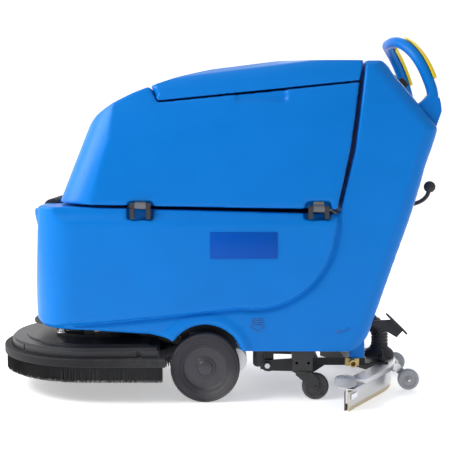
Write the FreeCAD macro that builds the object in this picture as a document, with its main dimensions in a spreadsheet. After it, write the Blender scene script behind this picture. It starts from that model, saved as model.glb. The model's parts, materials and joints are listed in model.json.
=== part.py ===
"""Walk-behind floor scrubber: one disc brush in front, squeegee behind, tilting recovery tank.

Frame: +X towards the operator, -X towards the brush deck, +Y to the machine's right-hand side,
+Z up. The origin is on the floor, at the middle of the machine's box. All sizes are in
millimetres. The deck is modelled raised and the squeegee down on the floor.
"""
import FreeCAD, Part
import math
import os
import re

import Sketcher
from FreeCAD import Placement, Rotation, Vector

document = FreeCAD.newDocument("FloorScrubber")
sheet = document.addObject("Spreadsheet::Sheet", "dims")
nodes = {}

# The driving dimensions: alias, value in millimetres (or degrees), what it is.
SIZES = [
    ("wall", 7, "wall of the rotomoulded tanks"),
    ("gap", 8, "gap between the shells"),
    ("base_half_width", 256, "half width of the sill and the rear column"),
    ("panel_half_width", 268, "half width of the proud front body"),
    ("front_low_x", -526, "front of the body at its lower edge"),
    ("front_seam_x", -508, "front of the body at the tank seam"),
    ("seam_front_z", 566, "seam height at the front"),
    ("seam_rear_z", 543, "seam height at the column"),
    ("nose_radius", 125, "plan radius of the body's front corners"),
    ("belly_z", 212, "underside of the body over the deck"),
    ("sill_z", 149, "underside of the body behind the drive wheels"),
    ("column_foot_x", 452, "rear of the column at its foot"),
    ("column_lip_x", 637, "rear corner of the column under the handle"),
    ("column_lip_z", 787, "height of that corner"),
    ("column_top_z", 979, "top of the column"),
    ("column_front_low_x", 357, "front of the column at the seam"),
    ("column_front_top_x", 430, "front of the column at its top"),
    ("panel_top_x", 508, "upper end of the sloping panel face"),
    ("panel_top_z", 942, "height of the sloping face's upper end"),
    ("bay_front_x", -255, "front of the battery bay"),
    ("bay_rear_x", 325, "rear of the battery bay"),
    ("bay_floor_z", 238, "floor of the battery bay"),
    ("bay_half_width", 215, "half width of the battery bay"),
    ("tunnel_top_z", 230, "ceiling of the running-gear tunnel"),
    ("tunnel_half_width", 196, "half width of the running-gear tunnel"),
    ("tank_front_x", -456, "front of the recovery tank at its lower edge"),
    ("tank_half_width", 262, "half width of the recovery tank at the seam"),
    ("tank_seam_z", 571, "height of the tank's lower edge at the front"),
    ("tank_rear_low_x", 348, "rear of the tank at the seam"),
    ("tank_rear_top_x", 414, "rear of the tank at the lid"),
    ("crease_half_width", 248, "half width at the crease"),
    ("crease_z", 796, "height of the crease at mid length"),
    ("crease_rise", 0.126, "slope of the crease towards the rear"),
    ("lid_front_x", -181, "front edge of the lid"),
    ("lid_half_width", 226, "half width of the lid"),
    ("lid_edge_front_z", 864, "lid edge height at the front"),
    ("lid_edge_rear_z", 921, "lid edge height at the rear"),
    ("lid_top_z", 982, "highest point of the lid"),
    ("wheel_x", -27, "drive axle, along the machine"),
    ("wheel_radius", 100, "drive tyre radius"),
    ("wheel_width", 50, "drive tyre width"),
    ("wheel_face_y", 262, "outer face of a drive tyre"),
    ("rim_radius", 66, "radius of the drive wheel's rim"),
    ("arch_radius", 108, "radius of the wheel arch"),
    ("arch_z", 118, "centre height of the wheel arch"),
    ("caster_x", 254, "swivel axis of a caster, along the machine"),
    ("caster_y", 218, "swivel axis of a caster, from the middle"),
    ("caster_trail", 39, "trail of a caster"),
    ("caster_radius", 39, "caster wheel radius"),
    ("deck_x", -362, "brush axis, along the machine"),
    ("skirt_radius", 290, "outer radius of the deck skirt"),
    ("skirt_rear_x", -139, "flat rear end of the skirt"),
    ("cover_radius", 266, "radius of the deck cover"),
    ("cover_rear_x", -162, "flat rear end of the deck cover"),
    ("brush_radius", 254, "radius of the disc brush"),
    ("bristle_low_z", 63, "skirt bristle tips, deck raised"),
    ("band_low_z", 109, "lower edge of the skirt band"),
    ("band_top_z", 133, "upper edge of the skirt band"),
    ("cover_top_z", 158, "shoulder of the deck cover"),
    ("hub_disc_radius", 134, "raised disc on the deck cover"),
    ("hub_disc_top_z", 172, "top of the raised disc"),
    ("arm_root_x", -90, "chassis pivot of the deck arms"),
    ("arm_root_z", 146, "height of that pivot"),
    ("arm_tip_x", -240, "deck pivot of the deck arms"),
    ("arm_tip_z", 182, "height of that pivot"),
    ("link_offset_z", 28, "height of the deck link above the arms"),
    ("arm_y", 118, "deck arms, from the middle"),
    ("pin_radius", 6, "pivot pins"),
    ("pin_clearance", 0.08, "running clearance of a pin in its hole"),
    ("squeegee_root_x", 157, "pivot of the squeegee arm"),
    ("squeegee_root_z", 77, "height of that pivot"),
    ("squeegee_arm_y", 115, "squeegee arm cheeks, from the middle"),
    ("squeegee_apex_x", 538, "rearmost point of the blade line"),
    ("squeegee_bow", 270, "radius of the blade line in the middle"),
    ("squeegee_sweep", 32.4, "sweep of the blade's wings, degrees"),
    ("squeegee_half_width", 346, "half width of the squeegee"),
    ("casting_top_z", 76, "top of the squeegee casting"),
    ("squeegee_wheel_radius", 32, "rear wheels of the squeegee"),
    ("roller_radius", 31, "bumper rollers at the squeegee tips"),
    ("hose_radius", 27, "suction hose"),
    ("pedal_x", 415, "pivot of the deck pedal"),
    ("pedal_z", 203, "height of that pivot"),
    ("pedal_y", -120, "pedal, from the middle"),
    ("lever_x", 536, "pivot of the squeegee lever"),
    ("lever_z", 566, "height of that pivot"),
    ("lever_y", -150, "squeegee lever, from the middle"),
    ("handle_radius", 16, "handle tube"),
    ("handle_half_width", 180, "handle legs, from the middle"),
    ("hinge_radius", 9, "tank hinge sleeve"),
    ("hinge_pin_radius", 4, "tank hinge pin"),
    ("tank_hinge_y", -262, "tank hinge axis, from the middle"),
    ("tank_hinge_x", 43, "middle of the tank hinge axis"),
    ("tank_hinge_z", 563, "height of the tank hinge axis at its middle"),
    ("tank_hinge_slope", 1.03, "fall of the tank hinge axis to the rear, degrees"),
    ("lid_hinge_y", 244, "lid hinge axis, from the middle"),
    ("lid_slope", 5.48, "rise of the lid's edge to the rear, degrees"),
    ("cap_hinge_x", -469, "filler cap hinge, along the machine"),
    ("cap_hinge_z", 557, "height of the filler cap hinge"),
    ("tie_hole_x", -534, "tie-down holes, along the machine"),
    ("tie_hole_radius", 8, "tie-down holes"),
    ("tie_hole_spacing", 100, "tie-down holes, from one to the other"),
    ("slope", 50.2, "fall of the control panel's face, degrees"),
]


def fill_sheet():
    """Write every driving dimension into the spreadsheet, with its alias and its meaning."""
    for row, (alias, value, meaning) in enumerate(SIZES, start=1):
        sheet.set("A%d" % row, alias)
        sheet.set("B%d" % row, str(value))
        sheet.set("C%d" % row, meaning)
        sheet.setAlias("B%d" % row, alias)
    document.recompute()


ALIASES = {alias for alias, value, meaning in SIZES}
WORD = re.compile(r"[a-z_]+")


def formula(text):
    """Turn 'wheel_radius + 2' into the sheet's own 'dims.wheel_radius + 2'."""
    return WORD.sub(lambda found: "dims." * (found.group() in ALIASES) + found.group(), str(text))


def value(text):
    """The number that a formula has now."""
    return float(sheet.evalExpression(formula(text)))


def bind(item, **formulas):
    """Bind properties of an object to formulas of the sheet."""
    for name, text in formulas.items():
        item.setExpression(name, formula(text))


def put(item, x=0, y=0, z=0, turn=None):
    """Place an object: a turn first, then a position bound to the sheet."""
    item.Placement = Placement(Vector(value(x), value(y), value(z)), turn or Rotation())
    for axis, text in zip("xyz", (x, y, z)):
        item.setExpression("Placement.Base." + axis, formula(text))
    return item


UPHILL = Rotation(Vector(0, 1, 0), -math.degrees(math.atan(0.126)))

# Turns that lay an object's own Z axis along a row axis.
ALONG = {
    "x": Rotation(Vector(0, 1, 0), 90),
    "y": Rotation(Vector(1, 0, 0), -90),
    "z": Rotation(),
    "-y": Rotation(Vector(1, 0, 0), 90),
}


def box(name, low, size, turn=None):
    """A block from its low corner and its three sizes."""
    item = document.addObject("Part::Box", name)
    bind(item, Length=size[0], Width=size[1], Height=size[2])
    return put(item, *low, turn)


def rod(name, radius, length, base, along="y", turn=None):
    """A cylinder from the middle of its first end, along a row axis."""
    item = document.addObject("Part::Cylinder", name)
    bind(item, Radius=radius, Height=length)
    return put(item, *base, turn or ALONG[along])


def cone(name, low_radius, high_radius, length, base, along="y"):
    """A frustum from the middle of its first end."""
    item = document.addObject("Part::Cone", name)
    bind(item, Radius1=low_radius, Radius2=high_radius, Height=length)
    return put(item, *base, ALONG[along])


def ball(name, radius, centre):
    """A sphere."""
    item = document.addObject("Part::Sphere", name)
    bind(item, Radius=radius)
    return put(item, *centre)


def fuse(name, *items):
    """Items joined into one piece."""
    item = document.addObject("Part::MultiFuse", name)
    item.Shapes = list(items)
    item.Refine = True
    return item


def cut(name, base, *tools):
    """A base with tools taken away."""
    item = document.addObject("Part::Cut", name)
    item.Base = base
    item.Tool = tools[0] if len(tools) == 1 else fuse(name + "_tools", *tools)
    return item


def common(name, *items):
    """What several items share."""
    item = document.addObject("Part::MultiCommon", name)
    item.Shapes = list(items)
    return item


def group(name, *items):
    """Separate solids that make one node, such as a set of bolts."""
    item = document.addObject("Part::Compound", name)
    item.Links = list(items)
    return item


def rounded(name, item, radius, wanted):
    """A piece with some of its edges rounded: wanted(edge) picks them."""
    document.recompute()
    size = value(radius)
    edges = [index for index, edge in enumerate(item.Shape.Edges, start=1) if wanted(edge)]
    fillet = document.addObject("Part::Fillet", name)
    fillet.Base = item
    fillet.Edges = [(index, size, size) for index in edges]
    return fillet


def origin_plane(body, role):
    """One of a body's own origin planes."""
    return next(item for item in body.Origin.OriginFeatures if item.Role == role)


def bulge_point(start, end, radius):
    """The middle of an arc from start to end that bows to the right of the way."""
    half = (end - start) * 0.5
    sagitta = radius - math.sqrt(radius * radius - half.Length ** 2)
    return start + half + Vector(half.y, -half.x, 0).normalize() * sagitta


def outline(body, plane, corners):
    """A closed sketch, anticlockwise. A corner is (u, v), or (u, v, radius) where an arc runs on
    to the next: it bows outwards with a positive radius and inwards with a negative one."""
    sketch = body.newObject("Sketcher::SketchObject", body.Name + "_sketch")
    sketch.AttachmentSupport = (origin_plane(body, plane), [""])
    sketch.MapMode = "FlatFace"
    points = [Vector(value(corner[0]), value(corner[1]), 0) for corner in corners]
    ends = []
    for index, corner in enumerate(corners):
        start, end = points[index], points[(index + 1) % len(points)]
        radius = value(corner[2]) if len(corner) == 3 else 0
        ends.append((2, 1) if radius < 0 else (1, 2))
        if radius < 0:
            start, end = end, start
        if radius:
            middle = bulge_point(start, end, abs(radius))
            sketch.addGeometry(Part.Arc(start, middle, end))
        else:
            sketch.addGeometry(Part.LineSegment(start, end))
    for index, corner in enumerate(corners):
        follower = (index + 1) % len(points)
        sketch.addConstraint(
            Sketcher.Constraint("Coincident", index, ends[index][1], follower, ends[follower][0]))
        for kind, text in zip(("DistanceX", "DistanceY"), corner):
            pinned = sketch.addConstraint(
                Sketcher.Constraint(kind, -1, 1, index, ends[index][0], value(text)))
            sketch.setExpression("Constraints[%d]" % pinned, formula(text))
        if len(corner) == 3:
            bent = sketch.addConstraint(
                Sketcher.Constraint("Radius", index, abs(value(corner[2]))))
            sketch.setExpression("Constraints[%d]" % bent, "abs(%s)" % formula(corner[2]))
    return sketch


def prism(name, plane, corners, depth, at=0, symmetric=False):
    """An outline padded from one plane, towards the positive side or to both sides alike."""
    body = document.addObject("PartDesign::Body", name)
    sketch = outline(body, plane, corners)
    pad = body.newObject("PartDesign::Pad", name + "_pad")
    pad.Profile = sketch
    bind(pad, Length=depth)
    pad.Reversed = plane == "XZ_Plane" and not symmetric
    if symmetric:
        pad.SideType = "Symmetric"
    sketch.Visibility = False
    offset = {"XY_Plane": (0, 0, at), "XZ_Plane": (0, at, 0), "YZ_Plane": (at, 0, 0)}
    return put(body, *offset[plane])


def lathe(name, corners, base, along="z"):
    """A (radius, height) outline turned about its own axis, which lies along a row axis."""
    body = document.addObject("PartDesign::Body", name)
    sketch = outline(body, "XZ_Plane", corners)
    turned = body.newObject("PartDesign::Revolution", name + "_turned")
    turned.Profile = sketch
    turned.ReferenceAxis = (sketch, ["V_Axis"])
    turned.Angle = 360
    sketch.Visibility = False
    return put(body, *base, ALONG[along])


def node(name, item):
    """Name a finished sub-part."""
    item.Label = name
    nodes[name] = item
    return item


# ---------------------------------------------------------------- the blue base and column

def plan_with_round_nose(name, half_width, front_x, rear_x, radius, low_z, height):
    """A plan outline with two round front corners, as a tall prism."""
    inner = "%s - (%s)" % (half_width, radius)
    return prism(name, "XY_Plane", [
        (rear_x, "-(%s)" % half_width),
        (rear_x, half_width),
        ("%s + %s" % (front_x, radius), half_width, radius),
        (front_x, inner),
        (front_x, "-(%s)" % inner, radius),
        ("%s + %s" % (front_x, radius), "-(%s)" % half_width),
    ], height, at=low_z)


def make_base_shell():
    """Solution tank, sill, battery bay and column: one blue moulding."""
    panel_side = prism("panel_side", "XZ_Plane", [
        ("front_low_x + 8", "belly_z + 22"),
        ("front_low_x + 34", "belly_z + 6"),
        (-440, "belly_z + 12"),
        (-184, "belly_z + 37"),
        (73, 277, 235),
        (338, 460),
        ("column_front_low_x - 4", "seam_rear_z"),
        ("front_seam_x", "seam_front_z"),
        ("front_low_x", "belly_z + 90"),
    ], "2 * panel_half_width", symmetric=True)
    panel_plan = plan_with_round_nose("panel_plan", "panel_half_width", "front_low_x",
                                      "column_front_low_x + 20", "nose_radius", 150, 500)
    shoulder = "panel_half_width - 14"
    panel_section = prism("panel_section", "YZ_Plane", [
        ("-panel_half_width", 236),
        ("-(%s)" % shoulder, 222),
        (shoulder, 222),
        ("panel_half_width", 236),
        ("panel_half_width", 522),
        (shoulder, 546),
        (shoulder, 590),
        ("-(%s)" % shoulder, 590),
        ("-(%s)" % shoulder, 546),
        ("-panel_half_width", 522),
    ], 1100, at=-600)
    panel = common("panel_block", panel_side, panel_plan, panel_section)

    sill_side = prism("sill_side", "XZ_Plane", [
        ("front_low_x + 12", "belly_z + 40", 44),
        ("front_low_x + 40", "belly_z + 2"),
        (-370, "belly_z - 2"),
        (-184, "belly_z - 14"),
        (-134, 186, -70),
        (-100, "sill_z"),
        (372, "sill_z - 2", 78),
        ("column_foot_x", 212),
        (532, 448, 2400),
        (606, 690, 900),
        ("column_lip_x", "column_lip_z"),
        ("panel_top_x", "panel_top_z", 60),
        (472, "column_top_z"),
        ("column_front_top_x", "column_top_z"),
        (399, 725),
        ("column_front_low_x", "seam_rear_z + 4"),
        ("column_front_low_x - 10", "seam_rear_z - 10"),
        (-300, "belly_z + 60"),
    ], "2 * base_half_width", symmetric=True)
    sill_plan = plan_with_round_nose("sill_plan", "base_half_width", "front_low_x + 8",
                                     "column_lip_x + 20", "nose_radius - 8", 100, 950)
    crown = "base_half_width - 40"
    sill_section = prism("sill_section", "YZ_Plane", [
        ("-base_half_width + 6", 100),
        ("base_half_width - 6", 100),
        ("base_half_width", 190),
        ("base_half_width", 420),
        ("crease_half_width", 858),
        ("%s + 12" % crown, 965),
        (crown, "column_top_z - 6", 31),
        ("%s - 30" % crown, "column_top_z + 2"),
        ("-(%s - 30)" % crown, "column_top_z + 2", 31),
        ("-(%s)" % crown, "column_top_z - 6"),
        ("-(%s + 12)" % crown, 965),
        ("-crease_half_width", 858),
        ("-base_half_width", 420),
        ("-base_half_width", 190),
    ], 1400, at=-700)
    sill = common("sill_block", sill_side, sill_plan, sill_section)
    spout = prism("spout_block", "XZ_Plane", [
        ("front_low_x + 20", 424),
        ("front_low_x - 6", 487),
        ("front_low_x - 15", 531),
        ("front_low_x - 15", 549),
        ("front_low_x + 68", 553),
        ("front_low_x + 68", 424),
    ], 250, symmetric=True)
    spout = rounded("spout_round", spout, 40, lambda edge: (
        abs(edge.Vertexes[0].Point.y) > 124 and edge.BoundBox.YLength < 0.01
        and edge.BoundBox.XMax < value("front_low_x + 21") and edge.BoundBox.ZLength > 15))
    boss = box("sump_boss", (398, -178, 110), (44, 44, 60))
    ears = [box("cap_ear_%d" % index, ("cap_hinge_x - 1.5", y, 546), (6, 6, 13))
            for index, y in enumerate((-78, -48, 42, 72))]
    pins = [rod("cap_pin_%d" % (y > 0), 3, 30, ("cap_hinge_x", y - 15, "cap_hinge_z")) for y in (-60, 60)]
    outside = fuse("base_outside", panel, sill, spout, boss)

    low_bay = box("battery_bay", ("bay_front_x", "-bay_half_width", "bay_floor_z"),
                  ("bay_rear_x - bay_front_x", "2 * bay_half_width", 400))
    tunnel = box("tunnel", (-330, "-tunnel_half_width", 90),
                 (712, "2 * tunnel_half_width", "tunnel_top_z - 90"))
    rear_bay = box("rear_bay", (378, -130, 90), (54, 260, "tunnel_top_z + 2 - 90"))
    motor_well = rod("motor_well", 96, 200, ("deck_x", 0, 180), "z")
    water = box("water_space", ("front_seam_x + 22", -222, 392), (222, 444, 142))
    mouth = box("spout_mouth", ("front_low_x - 4", -100, 470), (56, 200, 120))
    mouth_throat = box("spout_throat", ("front_low_x + 12", -70, 440), (60, 140, 60))
    column_space = prism("column_space", "XZ_Plane", [
        (385, "tunnel_top_z + 8"),
        ("column_foot_x - 6", "tunnel_top_z + 8"),
        (521, 448),
        (594, 690),
        ("column_lip_x - 16", "column_lip_z - 4"),
        ("panel_top_x - 12", "panel_top_z - 14"),
        (468, "column_top_z - 10"),
        ("column_front_top_x + 10", "column_top_z - 10"),
        (409, 725),
        ("column_front_low_x + 9", "seam_rear_z"),
    ], "2 * crease_half_width - 80", symmetric=True)
    column_wide_space = prism("column_wide_space", "XZ_Plane", [
        (385, "tunnel_top_z + 8"),
        ("column_foot_x - 6", "tunnel_top_z + 8"),
        (521, 448),
        (594, 690),
        ("column_lip_x - 16", "column_lip_z - 4"),
        (537, 880),
        (429, 880),
        (409, 725),
        ("column_front_low_x + 9", "seam_rear_z"),
    ], "2 * base_half_width - 40", symmetric=True)
    column_hatch = box("column_hatch", (385, -60, "tunnel_top_z - 10"), (56, 120, 60))
    cavities = [low_bay, tunnel, rear_bay, motor_well, water, mouth, mouth_throat,
                column_space, column_wide_space, column_hatch]
    for side in (-1, 1):
        name = "left" if side < 0 else "right"
        along = "y" if side < 0 else "-y"
        outer_y = "%d * (panel_half_width + 2)" % side
        cavities.append(rod(name + "_arch", "arch_radius", 82, ("wheel_x", outer_y, "arch_z"), along))
        cavities.append(cone(name + "_arch_flare", "arch_radius + 20", "arch_radius", 22,
                             ("wheel_x + 3", outer_y, "arch_z + 4"), along))
    hinge_y = "-panel_half_width - 4"
    for x in (-247, 255):
        cavities.append(box("hinge_pocket_%d" % (x > 0), (x, hinge_y, 527), (72, 34, 60)))
    cavities.append(box("lever_slot", ("lever_x - 16", "lever_y - 11", "lever_z - 95"), (90, 22, 150)))
    cavities.append(box("pedal_slot", ("pedal_x - 26", "pedal_y - 19", "pedal_z - 20"), (90, 38, 84)))
    cavities.append(rod("hose_hole", "hose_radius + 10", 150, (500, 0, 158),
                        turn=Rotation(Vector(0, 1, 0), -64)))
    cavities.append(box("cap_recess", ("front_low_x + 8", -99, 553.3), (58, 198, 60)))
    node("solution_tank", fuse("base_with_ears", cut("base_shell", outside, *cavities), *ears, *pins))


def make_front_fittings():
    """The filler cap and the tie-down plate under the nose."""
    cap = prism("cap_side", "XZ_Plane", [
        ("cap_hinge_x - 5", "cap_hinge_z - 1"),
        ("cap_hinge_x - 5", "cap_hinge_z + 13", 18),
        ("cap_hinge_x - 12", "cap_hinge_z + 21", 70),
        ("cap_hinge_x - 27", "cap_hinge_z + 19", 26),
        ("cap_hinge_x - 44", "cap_hinge_z - 1"),
    ], 190, symmetric=True)
    lugs = [box("cap_lug_%d" % (y > 0), ("cap_hinge_x - 8", y - 8, "cap_hinge_z - 1"), (12, 16, 6))
            for y in (-60, 60)]
    bore = rod("cap_bore", "3 + pin_clearance", 200, ("cap_hinge_x", -100, "cap_hinge_z"))
    node("filler_cap", cut("cap_bored", fuse("cap_solid", cap, *lugs), bore))
    plate = prism("tie_plate", "XY_Plane", [
        (-440, -120),
        (-440, 120),
        (-520, 120, 68),
        (-551, 60),
        (-551, -60, 68),
        (-520, -120),
    ], 9, at=203)
    holes = [rod("tie_hole_%d" % (side > 0), "tie_hole_radius", 40,
                 ("tie_hole_x", "%d * tie_hole_spacing / 2" % side, 190), "z") for side in (-1, 1)]
    node("front_plate", cut("front_plate_cut", plate, *holes))


# ---------------------------------------------------------------- recovery tank and lid

def make_upper_section():
    """The cross-section that the recovery tank and its lid share, rising along the crease."""
    section = prism("upper_section", "YZ_Plane", [
        ("-tank_half_width - 2", -320),
        ("tank_half_width + 2", -320),
        ("crease_half_width", 0),
        ("lid_half_width + 9", 72),
        ("lid_half_width - 4", 122, 46),
        ("lid_half_width - 40", 156),
        ("lid_half_width - 90", 168),
        ("-lid_half_width + 90", 168),
        ("-lid_half_width + 40", 156, 46),
        ("-lid_half_width + 4", 122),
        ("-lid_half_width - 9", 72),
        ("-crease_half_width", 0),
    ], 1300)
    return put(section, -700, 0, "crease_z - 6 - 700 * crease_rise", turn=UPHILL)


def lid_edge_corners(lift):
    """The two ends of the lid's lower edge, moved up by a lift."""
    front = ("lid_front_x + 20", "lid_edge_front_z + %s" % lift)
    rear = ("tank_rear_top_x - 4", "lid_edge_rear_z + %s" % lift)
    return front, rear


def make_recovery_tank(section):
    """The tilting recovery tank, open under its lid."""
    edge_front, edge_rear = lid_edge_corners(-5)
    side = prism("tank_side", "XZ_Plane", [
        ("tank_front_x", "tank_seam_z"),
        ("tank_rear_low_x", "tank_seam_z - 14"),
        (384, 725),
        edge_rear,
        edge_front,
        ("lid_front_x - 4", 905, 620),
        (-340, 825, 320),
        (-424, 692, 900),
    ], 560, symmetric=True)
    plan = plan_with_round_nose("tank_plan", "tank_half_width + 4", "tank_front_x", 900, 150,
                                "-500", 1600)
    put(plan, -124, 0, 180, turn=Rotation(Vector(0, 1, 0), 22))
    outside = common("tank_outside", side, section, plan)
    space = prism("tank_space", "XZ_Plane", [
        ("tank_front_x + 30", "tank_seam_z + 10"),
        ("tank_rear_low_x - 10", "tank_seam_z - 4"),
        (374, 725),
        ("tank_rear_top_x - 18", 990),
        ("lid_front_x + 36", 990),
        ("lid_front_x + 36", 852),
        ("lid_front_x - 8", 852),
        (-320, 800),
        (-395, 692),
    ], "2 * lid_half_width - 20", symmetric=True)
    inner_plan = plan_with_round_nose("tank_inner_plan", "tank_half_width - 5", "tank_front_x + 9",
                                      900, 142, "-500", 1600)
    put(inner_plan, -124, 0, 180, turn=Rotation(Vector(0, 1, 0), 22))
    space = common("tank_hollow", space, inner_plan)
    pockets = [box("tank_hinge_pocket_%d" % (x > 0), (x, -290, 540), (72, 52, 39)) for x in (-245, 258)]
    grip = box("lid_finger_grip", (60, -290, 862), (146, 62, 34))
    shell = cut("tank_shell", outside, space, grip, *pockets)
    pins = []
    for x in (-60, 250):
        name = "lid_pin_%d" % (x > 0)
        pins.append(hinge_part(name + "_shaft", 3, 110, x))
        for step in (-41, 41):
            part = "%s_%d" % (name, step > 0)
            pins.append(hinge_part(part + "_knuckle", 6.5, 22, x + step))
            pins.append(box(part + "_leaf", (x + step - 10, "lid_half_width", hinge_height(x + step) + " - 24"),
                            (20, 18, 20)))
    node("recovery_tank", fuse("tank_with_pins", shell, *pins))


def make_lid(section):
    """The lid over the recovery tank, its gasket and its hinge."""
    low_front, low_rear = lid_edge_corners(0)
    side = prism("lid_side", "XZ_Plane", [
        low_front,
        low_rear,
        ("tank_rear_top_x + 9", "lid_top_z - 3"),
        (195, "lid_top_z", 1075),
        ("lid_front_x", 906),
    ], 560, symmetric=True)
    inside = prism("lid_inside", "XZ_Plane", [
        ("lid_front_x + 36", 840),
        ("tank_rear_top_x - 14", 860),
        ("tank_rear_top_x - 4", "lid_top_z - 20"),
        (195, "lid_top_z - 18", 1057),
        ("lid_front_x + 36", 898),
    ], "2 * lid_half_width - 90", symmetric=True)
    skin = cut("lid_skin", common("lid_outside", side, section), inside)
    knuckles = [hinge_part("lid_knuckle_%d" % (x > 0), 6.5, 56, x) for x in (-60, 250)]
    bores = [hinge_part("lid_bore_%d" % (x > 0), "3 + pin_clearance", 70, x) for x in (-60, 250)]
    leaves = [box("lid_leaf_%d" % (x > 0), (x - 26, "lid_half_width - 1", hinge_height(x) + " + 1"),
                  (52, 19, 16)) for x in (-60, 250)]
    node("tank_lid", cut("lid_bored", fuse("lid_solid", skin, *knuckles, *leaves), *bores))


def hinge_height(middle_x):
    """The height of the lid's hinge axis at a place along the machine."""
    return "lid_edge_front_z + 2 + (%s - lid_front_x - 20) * tan(lid_slope)" % middle_x


def hinge_part(name, radius, length, middle_x):
    """A cylinder on the lid's hinge axis, centred at a place along the machine."""
    turn = Rotation(Vector(0, 1, 0), 90 - value("lid_slope"))
    half = "(%s) / 2" % length
    rise = hinge_height(middle_x)
    return rod(name, radius, length,
               ("%s - %s * cos(lid_slope)" % (middle_x, half), "lid_hinge_y",
                "%s - %s * sin(lid_slope)" % (rise, half)), turn=turn)


def tank_hinge_part(name, radius, length, middle_x):
    """A cylinder on the tank's hinge axis, centred at a place along the machine."""
    turn = Rotation(Vector(0, 1, 0), 90 + value("tank_hinge_slope"))
    half = "(%s) / 2" % length
    height = "tank_hinge_z - (%s - tank_hinge_x) * tan(tank_hinge_slope)" % middle_x
    return rod(name, radius, length,
               ("%s - %s * cos(tank_hinge_slope)" % (middle_x, half), "tank_hinge_y",
                "%s + %s * sin(tank_hinge_slope)" % (height, half)), turn=turn)


def make_tank_hinges():
    """Two hinges on the left side: blocks and pins on the base, sleeves on the tank."""
    blocks, sleeves = [], []
    for x in (-209, 295):
        name = "tank_hinge_%d" % (x > 0)
        pin = tank_hinge_part(name + "_pin", "hinge_pin_radius", 58, x)
        ears = [tank_hinge_part(name + "_ear_%d" % (step > 0), "hinge_radius", 12, x + step)
                for step in (-23, 23)]
        feet = [box(name + "_foot_%d" % (step > 0), (x + step - 6, "tank_hinge_y - 8", 531), (12, 16, 30))
                for step in (-23, 23)]
        blocks.append(fuse(name + "_block", pin, *ears, *feet))
        sleeve = tank_hinge_part(name + "_sleeve", "hinge_radius", 32, x)
        leaf = box(name + "_leaf", (x - 15, "tank_hinge_y + 4", 560), (30, 6, 19))
        bore = tank_hinge_part(name + "_bore", "hinge_pin_radius + pin_clearance", 60, x)
        sleeves.append(cut(name + "_bored", fuse(name + "_leafed", sleeve, leaf), bore))
    node("tank_hinge_blocks", group("tank_hinge_block_set", *blocks))
    node("tank_hinge_sleeves", group("tank_hinge_sleeve_set", *sleeves))


def make_tank_inside():
    """The float cage over the suction inlet, inside the recovery tank."""
    cage = rod("float_cage_body", 38, 130, (320, 0, 700), "z")
    hollow = rod("float_cage_hollow", 34, 122, (320, 0, 690), "z")
    windows = []
    for step in range(3):
        heading = Rotation(Vector(0, 0, 1), 60 * step)
        corner = Vector(320, 0, 716) - heading.multVec(Vector(60, 5, 0))
        windows.append(box("float_cage_window_%d" % step, tuple(corner), (120, 10, 84), heading))
    top = rod("float_cage_top", 44, 8, (320, 0, 828), "z")
    arm = box("float_cage_arm", (350, -20, 812), (31, 40, 10))
    node("float_cage", cut("float_cage_cut", fuse("float_cage_solid", cage, top, arm),
                            hollow, *windows))


# ---------------------------------------------------------------- controls and handle

def on_slope(along, across, lift):
    """A point on the sloping face: a distance down it, across it and out of it."""
    return ("panel_top_x + (%s) * cos(slope) + (%s) * sin(slope)" % (along, lift), across,
            "panel_top_z - (%s) * sin(slope) + (%s) * cos(slope)" % (along, lift))


def make_controls():
    """The control panel with its buttons, key and water dial on the sloping face."""
    tilt = Rotation(Vector(0, 1, 0), value("slope"))
    plate = box("panel_plate", on_slope(8, -172, 0.5), (104, 344, 7), tilt)
    holes = [rod("button_hole_%d" % index, 9.5, 30, on_slope(62, y, -10), turn=tilt)
             for index, y in enumerate((-60, 0, 60))]
    window = box("panel_window", on_slope(22, -50, 5), (26, 100, 10), tilt)
    for name, y in (("key", 130), ("dial", -146)):
        holes.append(rod(name + "_hole", 5.1, 30, on_slope(44, y, -10), turn=tilt))
    panel = cut("panel_cut", plate, window, *holes)
    for name, y in (("brush_button", -60), ("suction_button", 0), ("water_button", 60)):
        cap = rod(name + "_cap", 9, 9, on_slope(62, y, 2.7), turn=tilt)
        node(name, cap)
    stem = rod("dial_stem", 5, 12, on_slope(44, -146, 1), turn=tilt)
    grip = rod("dial_grip", 15, 15, on_slope(44, -146, 8), turn=tilt)
    node("water_dial", fuse("dial_solid", stem, grip))
    barrel = rod("key_barrel", 5, 13, on_slope(44, 130, 1), turn=tilt)
    bow = box("key_bow", on_slope(32, 128.5, 12), (24, 3, 22), tilt)
    node("ignition_key", fuse("key_solid", barrel, bow))
    bezel = rod("key_bezel_disc", 14, 3, on_slope(44, 130, 7.6), turn=tilt)
    bezel_hole = rod("key_bezel_hole", 5.1, 20, on_slope(44, 130, 0), turn=tilt)
    node("control_panel", group("panel_and_bezel", panel, cut("key_bezel_ring", bezel, bezel_hole)))


def handle_points(side, lift=0):
    """Points along one leg of the handle, from its shoe to the middle of the top bar."""
    leg = [(624, 180, 850), (627, 182, 880), (616, 178, 922), (594, 165, 974), (569, 138, 1014),
           (547, 98, 1037), (534, 50, 1044)]
    return [Vector(x + 0.9 * lift, side * y, z + 0.43 * lift) for x, y, z in leg]


def tube(points, radius):
    """A round tube along a smooth curve through some points."""
    curve = Part.BSplineCurve()
    curve.interpolate(points)
    path = Part.Wire([curve.toShape()])
    start = curve.tangent(curve.FirstParameter)[0]
    ring = Part.Wire([Part.makeCircle(radius, points[0], start)])
    return path.makePipeShell([ring], True, True)


def shape_node(name, shape):
    """A sub-part whose shape is made directly."""
    item = document.addObject("Part::Feature", name)
    item.Shape = shape
    item.Placement = Placement()
    return item


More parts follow.
